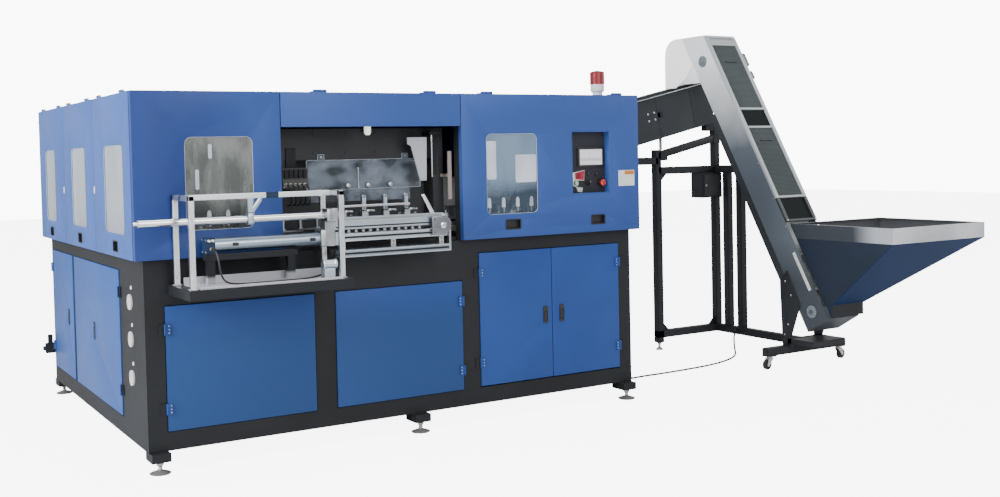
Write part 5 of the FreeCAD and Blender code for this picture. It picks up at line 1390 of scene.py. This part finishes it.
def makeChain():
    kit, pins = startKit(), chainPins()
    headings = [math.atan2(nextY - y, nextX - x) for (x, y), (nextX, nextY) in zip(pins, pins[1:] + pins[:1])]
    for level in (0, 1):
        places = [(x, y, chain["height"] + level * chain["plate"]) for x, y in pins[level::2]]
        copies(kit, "chainSteel", template(linkPlate), places, headings[level::2])
    foot = chain["height"] + 2 * chain["plate"]
    copies(kit, "chromed", template(mandrelBody), [(x, y, foot) for x, y in pins], headings)
    finishKit(kit, "mandrelChainDressed", "machine", ("mandrel_chain",))


makeChain()

print("stage: elevator")
elevator = {"left": 4800, "right": 5120, "depth": 226, "sheet": 4, "tail": 110, "head": 2330, "drumDepth": 113,
            "frontTop": 2150 / math.cos(elevatorLean["angle"]), "coverFoot": 790, "bar": 9, "rail": 34}


def makeTrough():
    kit, e = startKit(), elevator
    left, right, depth, sheet, drum = e["left"], e["right"], e["depth"], e["sheet"], e["drumDepth"]
    rearTop = e["frontTop"] + depth * math.tan(elevatorLean["angle"])
    outline = [(0, 0), (depth, 0), (depth, rearTop), (0, e["frontTop"])]
    bores = [circle(drum, station, 15.6, 32) for station in (e["tail"], e["head"])]
    for x in (left, right - sheet):
        plate(kit, "troughGrey", [outline] + bores, x, x + sheet, alongSide, 0.8)
    for near, far, low, high in ((0, 2190, depth - 4, depth), (0, 4, 0, depth - 4), (4, 100, 0, 4)):
        block(kit, "troughGrey", (left + sheet, near, low), (right - sheet, far, high), 0.5, 1, onElevator)
    # flanged bearings with four screws each; at the right sheet's head the gear motor takes its place
    flange = [(15.8, 0), (46, 0), (46, 5), (40, 6), (28, 7), (24, 10), (15.8, 10), (15.8, 0)]
    for side, x, station in ((-1, left, e["tail"]), (1, right, e["tail"]), (-1, left, e["head"])):
        lathe(kit, "motorGrey", flange, sides=36,
              place=lambda p, q, s: onElevator(x + side * (s + 0.1), station + p, drum + q))
        heads = [(x + side * 5.1, station + 36 * a, drum + 36 * b) for a, b in
                 ((0.7, 0.7), (-0.7, 0.7), (-0.7, -0.7), (0.7, -0.7))]
        bolts(kit, "zincPlated", heads, (side, 0, 0), 5, 3.6, 6, onElevator)
    # a dark flange behind the left sheet, a cream edge strip at its foot, and cream strips low on both sheets
    for skin, x0, x1, near, far, low, high, edge in (
            ("sorterDark", left - 1.6, left - 0.1, 440, 1900, depth - 12, depth + 52, 0.6),
            ("paleCream", left - 2.4, left - 0.1, 110, 438, depth - 9, depth - 1, 0.6),
            ("paleCream", left - 2.4, left - 0.1, 250, 560, 30, 58, 0.8),
            ("paleCream", right + 0.1, right + 2.4, 250, 560, 30, 58, 0.8)):
        block(kit, skin, (x0, near, low), (x1, far, high), edge, 1, onElevator)
    heads = [(left - 2.4, 275 + 52 * k, 44) for k in range(6)]
    bolts(kit, "zincPlated", heads, leftward, 4, 2.6, 8, onElevator)
    side = [(left - 0.1, station, 12) for station in (760, 1000, 1311, 1623, 1793, 2100, 2400)]
    bolts(kit, "zincPlated", side, leftward, 4.6, 2.8, 8, onElevator)
    finishKit(kit, "elevatorTroughDressed", "machine", ("elevator_trough",))


def makeCover():
    kit, e = startKit(), elevator
    left, right, rail, bar, foot = e["left"], e["right"], e["rail"], e["bar"], e["coverFoot"]
    top = e["frontTop"] - 14
    bars = [foot + bar, 1000, 1623, 1793, 2410, top - bar]

    def crossBar(skin, x0, x1, near, far):
        block(kit, skin, (x0, near, -18), (x1, far, -0.1), 2, 2, onElevator)

    for x in (left, right - rail):
        crossBar("sorterDark", x, x + rail, foot, bars[1] - bar)
        crossBar("coverGrey", x, x + rail, bars[1] - bar, top)
    inner = (left + rail - 1, right - rail + 1)
    for station in bars:
        crossBar("sorterDark" if station == bars[0] else "coverGrey", *inner, station - bar, station + bar)
    fields = list(zip(bars[:-1], bars[1:]))
    for (low, high), skin in zip(fields, ("panelDark", "meshBack", "panelDark", "meshBack", "coverGrey")):
        block(kit, skin, (inner[0], low + bar - 1, -8), (inner[1], high - bar + 1, -4), 0.4, 1, onElevator)
    for low, high in (fields[1], fields[3]):
        width, length = inner[1] - inner[0] - 2, high - low - 2 * bar
        values = {"width": width, "length": length, "wiresAcross": int(width / 11), "wiresAlong": int(length / 11),
                  "wireRadius": 1.5}
        across, along = (left + right) / 2, (low + high) / 2
        grown(kit, "wireGreen", "wires", values, place=lambda u, v, w: onElevator(u + across, v + along, w - 10))
    heads = [(x, station, -18) for x in (left + rail / 2, right - rail / 2) for station in bars + [1311, 2100]]
    bolts(kit, "zincPlated", heads, outward, 5.4, 3.2, 8, onElevator)
    for station in (1500, 2240):  # a small black pull on each mesh panel
        pull = ((4905, -10), (4905, -17.6), (5015, -17.6), (5015, -10))
        tube(kit, "blackPlastic", [onElevator(u, station, w) for u, w in pull], 4)
    finishKit(kit, "elevatorCoverDressed", "machine", ("elevator_cover",))


def makeMotor():
    kit, e = startKit(), elevator
    x, d, s = e["right"], e["drumDepth"], e["head"]
    cx = x + 62
    block(kit, "motorGrey", (x + 0.1, s - 60, d - 55), (x + 124, s + 60, d + 55), 7, 3, onElevator)
    lathe(kit, "motorGrey", [(20, 0), (44, 0), (44, 2.4), (40, 4), (20, 4), (20, 0)], (0, 0, 0), 36,
          lambda p, q, h: onElevator(x + 120 + h, s + p, d + q))
    body = [(0, 0), (50, 0), (52, 3), (52, 16), (45, 18), (45, 158), (50, 160), (57, 162), (58, 166), (58, 204),
            (52, 209), (20, 210), (0, 210)]
    lathe(kit, "motorGrey", body, (0, 0, 0), 48, lambda p, q, h: onElevator(cx + p, s - 60 - h, d + q))
    values = {"count": 36, "ringRadius": 47, "finSize": (11, 2.2, 138)}
    grown(kit, "motorGrey", "fins", values, place=lambda p, q, h: onElevator(cx + p, s - 148 + h, d + q))
    block(kit, "motorGrey", (cx + 42, s - 170, d - 30), (cx + 84, s - 100, d + 30), 4, 3, onElevator)
    heads = [(cx + 84, s - 170 + a, d + b) for a in (8, 62) for b in (-23, 23)]
    bolts(kit, "zincPlated", heads, rightward, 3.6, 2.6, 8, onElevator)
    heads = [(x + 124, s + a, d + b) for a in (-48, 48) for b in (-44, 44)]
    bolts(kit, "zincPlated", heads, rightward, 6, 4.6, 6, onElevator)
    finishKit(kit, "gearMotorDressed", "machine", ("gear_motor",))


def makeHeadHood():
    kit, e = startKit(), elevator
    nodeCopy(kit, "head_hood", lambda centre, normal: "hoodWhite")
    bead = ((1080, 2551), (1350, 2551), (1438, 2550), (1500, 2535), (1545, 2492), (1562, 2430), (1562, 2300),
            (1562, 2156))
    for x in (e["left"] - 0.4, e["right"] + 0.4):  # a folded bead follows the curved outline on both sides
        tube(kit, "hoodWhite", [(x, y, z) for y, z in bead], 2.6, curved=True, sides=2)
    rivets = [(e["left"], 1120 + 62 * k, 2539) for k in range(5)]
    rivets += [(e["left"], 1552, 2410 - 62 * k) for k in range(4)]
    bolts(kit, "zincPlated", rivets, leftward, 3.4, 1.8, 10)
    finishKit(kit, "headHoodDressed", "machine", ("head_hood",))


makeTrough()
makeCover()
makeMotor()
makeHeadHood()

print("stage: machine bed and what hangs from the clamp")


def bedSkin(centre, normal):
    x, y, z = centre
    if z > 1136 and 336 < y < 959:
        return "chromed"
    if y > 214 or z < 1360:
        return "bedGrey"
    if z > 1750 and x < 1500:
        return "lampWhite" if y < 182 else "innerDark"
    if x > 1895:
        return "stripBrown"
    if x < 1765:
        return "bracketGrey"
    return "chromed" if y < 131 and z < 1754 else "innerDark"


def makeBed():
    kit = startKit()
    nodeCopy(kit, "machine_bed", bedSkin)
    bolts(kit, "zincPlated", [(x, 112, 1726) for x in (1642, 1700, 1744)], forward, 5, 3.4)
    rows = [(880 + 198 * k, 215, z) for k in range(6) for z in (1660, 1770)]
    # the bolt heads on the platens share the painted shade
    bolts(kit, "platenDark", rows, forward, 8, 6)
    finishKit(kit, "machineBedDressed", "machine", ("machine_bed",))


makeBed()

print("stage: hopper")
hopper = {"left": 4830, "right": 5801, "front": -757, "back": 182, "rimFoot": 963, "rimTop": 1070,
          "mouthRight": 5150, "mouthFront": -215, "mouth": 497}


def hopperSkin(centre, normal):
    h = hopper
    inside = (h["left"] + 5 < centre.x < h["right"] - 5) and (h["front"] + 5 < centre.y < h["back"] - 5)
    middleX, middleY = (h["left"] + h["right"]) / 2, (h["front"] + h["back"]) / 2
    if centre.z > h["rimFoot"] + 2:
        # on the rim, the inside faces get painted shade and the left and front faces painted reflections; the rest
        # is stainless
        if normal.x * (centre.x - middleX) + normal.y * (centre.y - middleY) < -1:
            return "rimInside"
        if normal.x < -0.9 and centre.x < h["left"] + 2:
            return "rimShade"
        return "rimBright" if normal.y < -0.9 and not inside else "stainless"
    if centre.z < h["mouth"] - 1 and inside:
        return "standBlack"
    # painted reflection: the funnel's left-facing faces take a greyer copy of the navy
    return "funnelShade" if normal.x < -0.4 else "funnelNavy"


def makeHopper():
    kit, h = startKit(), hopper
    nodeCopy(kit, "hopper", hopperSkin)
    corners = [(h["left"] + 2.6, h["front"] + 2.6), (h["right"] - 2.6, h["front"] + 2.6),
               (h["right"] - 2.6, h["back"] - 2.6), (h["left"] + 2.6, h["back"] - 2.6)]
    tube(kit, "stainless", [(x, y, h["rimTop"] - 1.6) for x, y in corners], 2.5, closed=True, sides=2)
    low = [(h["left"] + 1.6, h["front"] + 2.6), (h["right"] - 2.6, h["front"] + 2.6), (h["right"] - 2.6, 124)]
    tube(kit, "funnelNavy", [(x, y, h["rimFoot"]) for x, y in low], 2.2, sides=2)  # the weld under the rim
    for (x, y), mouthX in zip(corners[:2], (h["left"] + 1, h["mouthRight"])):  # the funnel's front edges
        tube(kit, "funnelNavy", [(x, y, h["rimFoot"]), (mouthX, h["mouthFront"], h["mouth"])], 2.6, sides=2)
    finishKit(kit, "hopperDressed", "machine", ("hopper",))


makeHopper()

print("stage: sorter and feeder stand")
sorter = {"length": 1927, "height": 341, "front": 1300, "back": 1560, "sheet": 4}


def makeSorter():
    kit, s = startKit(), sorter
    length, height, front, back, sheet = s["length"], s["height"], s["front"], s["back"], s["sheet"]
    for u, y0, y1, w0, w1, edge in (
            (0, front, front + sheet, 0, height, 0.8), (0, back - sheet, back, 0, height, 0.8),
            (0, front + sheet, back - sheet, 0, sheet, 0.4),
            (length - sheet, front + sheet, back - sheet, sheet, height, 0.4)):
        block(kit, "sorterDark", (u, y0, w0), (length, y1, w1), edge, 1, onSorter)
    for y0, y1 in ((back - sheet, back + 20), (front - 20, front + sheet)):
        block(kit, "coverGrey", (125, y0, height), (length, y1, height + sheet), 0.8, 1, onSorter)
    openings = [circle(y, 150, 12.3, 28) for y in (1385, 1475)]
    for station in (60, length - 60):
        rim = [(front + sheet, sheet), (back - sheet, sheet), (back - sheet, 190), (1437, 190), (1437, 120),
               (1423, 120), (1423, 190), (front + sheet, 190)]
        plate(kit, "sorterDark", [rim] + openings, station, station + 6, lambda u, v, w: onSorter(w, u, v), 0.5)
    # four bright screws and a small dark cover on the front sheet, screws on the flange, ribs below it
    heads = [(u, front, w) for u in (1244, 1310) for w in (162, 218)]
    bolts(kit, "chromed", heads, forward, 9, 6, 20, onSorter)
    block(kit, "blackPlastic", (1340, front - 3, 168), (1392, front - 0.1, 212), 1.2, 2, onSorter)
    heads = [(175 + 146 * k, front - 12, height + sheet) for k in range(12)]
    bolts(kit, "zincPlated", heads, (-0.22, 0, 0.975), 5, 3.4, 6, onSorter)
    for k in range(5):
        u = 230 + 370 * k
        block(kit, "sorterDark", (u, front - 3, 20), (u + 26, front + 0.5, height - 16), 1.4, 2, onSorter)
    finishKit(kit, "sorterBoxDressed", "machine", ("sorter_box",))


stand = {"tube": 60, "legX": 4529, "rearY": 1368, "railX": 5160, "foot": 100, "top": 1440}
caster = {"leftX": 4625, "rightX": 5350, "y": 210, "trail": 25, "radius": 37.5}


def makeStand():
    kit, s = startKit(), stand
    half, top, leg, rail, rear = s["tube"] / 2, s["top"], s["legX"], s["railX"], s["rearY"]
    low, high, slope = s["foot"], s["foot"] + s["tube"], (rail - half - leg) * math.tan(sorterTilt["angle"])
    bars = [((4580, 180, low), (5400, 240, high)),
            ((rail - half, 240, low), (rail + half, rear + half, high)),
            ((leg - half, rear - half, low), (rail - half, rear + half, high)),
            ((leg - half, rear - half, 62), (leg + half, rear + half, 1640)),
            ((rail - half, 560, top), (rail + half, rear + half, top + 60)),
            ((leg, rear - half, top), (rail - half, rear + half, top + 60)),
            ((5120.2, 570, top), (rail - half, 670, top + 60)),
            ((3270.2, rear - half, 1520), (leg, rear + half, 1580)),
            ((rail - half, rear - half, top + 60), (rail + half, rear + half, 1880)),
            ((5040, rear - half, 1790), (rail - half, rear + half, 1875))]
    bars += [((rail - half, y - half, high), (rail + half, y + half, top)) for y in (rear, 1216, 1059)]
    for a, b in bars:
        block(kit, "standBlack", a, b, 3.2, 2)
    block(kit, "chromed", (4565, rear - 10, 1638), (4585, rear + 10, 1760), 1.6, 2)
    profile = [(0, 0), (26, 0), (30, 5), (29, 9), (14, 22), (10, 25), (10, 62), (0, 62)]
    lathe(kit, "zincPlated", profile, (leg, rear, 0), 32)
    lathe(kit, "zincPlated", [(0, 50), (17, 50), (19, 52), (19, 60), (17, 62), (0, 62)], (leg, rear, 0), 6)
    # gussets, and pads where the bars meet the legs
    for x, z, dx, dz in ((leg + half, top, 70, -70), (rail - half, top, -70, -70), (leg + half, high, 70, 70),
                         (rail - half, high, -70, 70)):
        plate(kit, "standBlack", [[(x, z), (x + dx, z), (x, z + dz)]], rear - 4, rear + 4, facingFront, 0.6)
    for x, z in ((4560, 1562), (rail - half, 1697)):
        block(kit, "standBlack", (x - 8, rear - half - 4, z - 10), (x + 60, rear - half, z + 50), 1)
    # cheeks that carry the elevator's foot
    cheek = [(180, 160), (240, 160), (262, 640), (190, 720), (60, 480)]
    for x, face, facing in ((4790, 4790, leftward), (5120, 5130, rightward)):
        plate(kit, "standBlack", [cheek], x, x + 10, facingLeft, 1)
        heads = [(face, y, z) for y, z in ((150, 540), (206, 640), (180, 320), (216, 240))]
        bolts(kit, "zincPlated", heads, facing, 8, 5)
    block(kit, "standBlack", (4790, -60, 176), (5130, 180, 216), 2, 2)
    block(kit, "standBlack", (4790, 150, 150), (5130, 190, 216), 2, 2)
    slopeBar = [(leg, 1562), (rail - half, 1562 + slope), (rail - half, 1618 + slope), (leg, 1618)]
    plate(kit, "standBlack", [slopeBar], rear - half, rear + half, facingFront, 2.4, 2)
    for x in (caster["leftX"], caster["rightX"]):
        plate(kit, "forkZinc", [roundedRect(x - 40, x + 40, 170, 250, 6, 4)], 96, 99.95, plain, 0.8)
        heads = [(x + dx, caster["y"] + dy, 96) for dx in (-30, 30) for dy in (-30, 30)]
        bolts(kit, "zincPlated", heads, outward, 5, 3)
    # the control box with a bevelled door, a lock and hinges
    block(kit, "standBlack", (4920, 1250, 1235), (rail - half, 1398, top), 3, 2)
    block(kit, "boxGrey", (4935, 1244, 1250), (5115, 1250.2, 1425), 2, 2)
    lock = [(0, 1239), (7, 1239), (9, 1240.5), (9, 1245), (0, 1245)]
    lathe(kit, "zincPlated", lock, (4952, 1338, 0), 24, facingFront)
    for z in (1272, 1390):
        hinge = [(0, z), (4, z), (5, z + 1), (5, z + 29), (4, z + 30), (0, z + 30)]
        lathe(kit, "boxGrey", hinge, (5112, 1243, 0), 14)
    block(kit, "blackPlastic", (rail - 27, 557.6, 1443), (rail + 27, 561, 1497), 1.6, 2)  # end caps of the tubes
    for x0, x1 in ((4577.6, 4580), (5400, 5402.4)):
        block(kit, "blackPlastic", (x0, 183, low + 3), (x1, 237, high - 3), 0.9, 2)
    finishKit(kit, "feederStandDressed", "machine", ("feeder_stand",))


def makeCasters():
    y, radius = caster["y"], caster["radius"]
    for side, x, axle in (("left", caster["leftX"], caster["leftX"] - caster["trail"]),
                          ("right", caster["rightX"], caster["rightX"] + caster["trail"])):
        kit = startKit()
        lathe(kit, "forkZinc", [(0, 84), (11.4, 84), (11.4, 105), (10, 106), (0, 106)], (x, y, 0), 28)
        lathe(kit, "forkZinc", [(0, 79), (22, 79), (24, 81), (24, 84), (20, 88), (15, 92), (0, 92)], (x, y, 0), 36)
        block(kit, "forkZinc", (x - 24, y - 20, 80), (x + 24, y + 20, 86), 1.4, 2)
        cheek = [(x - 24, 85), (x + 24, 85)] + arc(axle, 36.5, 13, 0, -22.5, 9)
        for y0, face, facing in ((y - 20, y - 20, -1), (y + 16, y + 20, 1)):
            plate(kit, "forkZinc", [cheek], y0, y0 + 4, facingFront, 0.8)
            bolts(kit, "zincPlated", [(axle, face, radius)], (0, facing, 0), 8.5, 4.2)
        lathe(kit, "zincPlated", [(0, 193), (6, 193), (6, 227), (0, 227)], (axle, radius, 0), 16, facingFront)
        finishKit(kit, side + "ForkDressed", side + "_fork", ("caster_fork_" + side,))
        kit = startKit()  # a tyre on its rim, bored for the axle
        tyre = [(6.1, 198.6), (14, 198.6), (15, 200), (15, 201.4), (25, 202.4), (27, 200), (28, 198.4), (33, 198),
                (36.4, 199.6), (37.5, 203), (37.5, 217), (36.4, 220.4), (33, 222), (28, 221.6), (27, 220),
                (25, 217.6), (15, 218.6), (15, 220), (14, 221.4), (6.1, 221.4), (6.1, 198.6)]
        lathe(kit, "tyreBlack", tyre, (axle, radius, 0), 56, facingFront)
        finishKit(kit, side + "WheelDressed", side + "_caster", ("caster_wheel_" + side,))


makeSorter()
makeStand()
makeCasters()
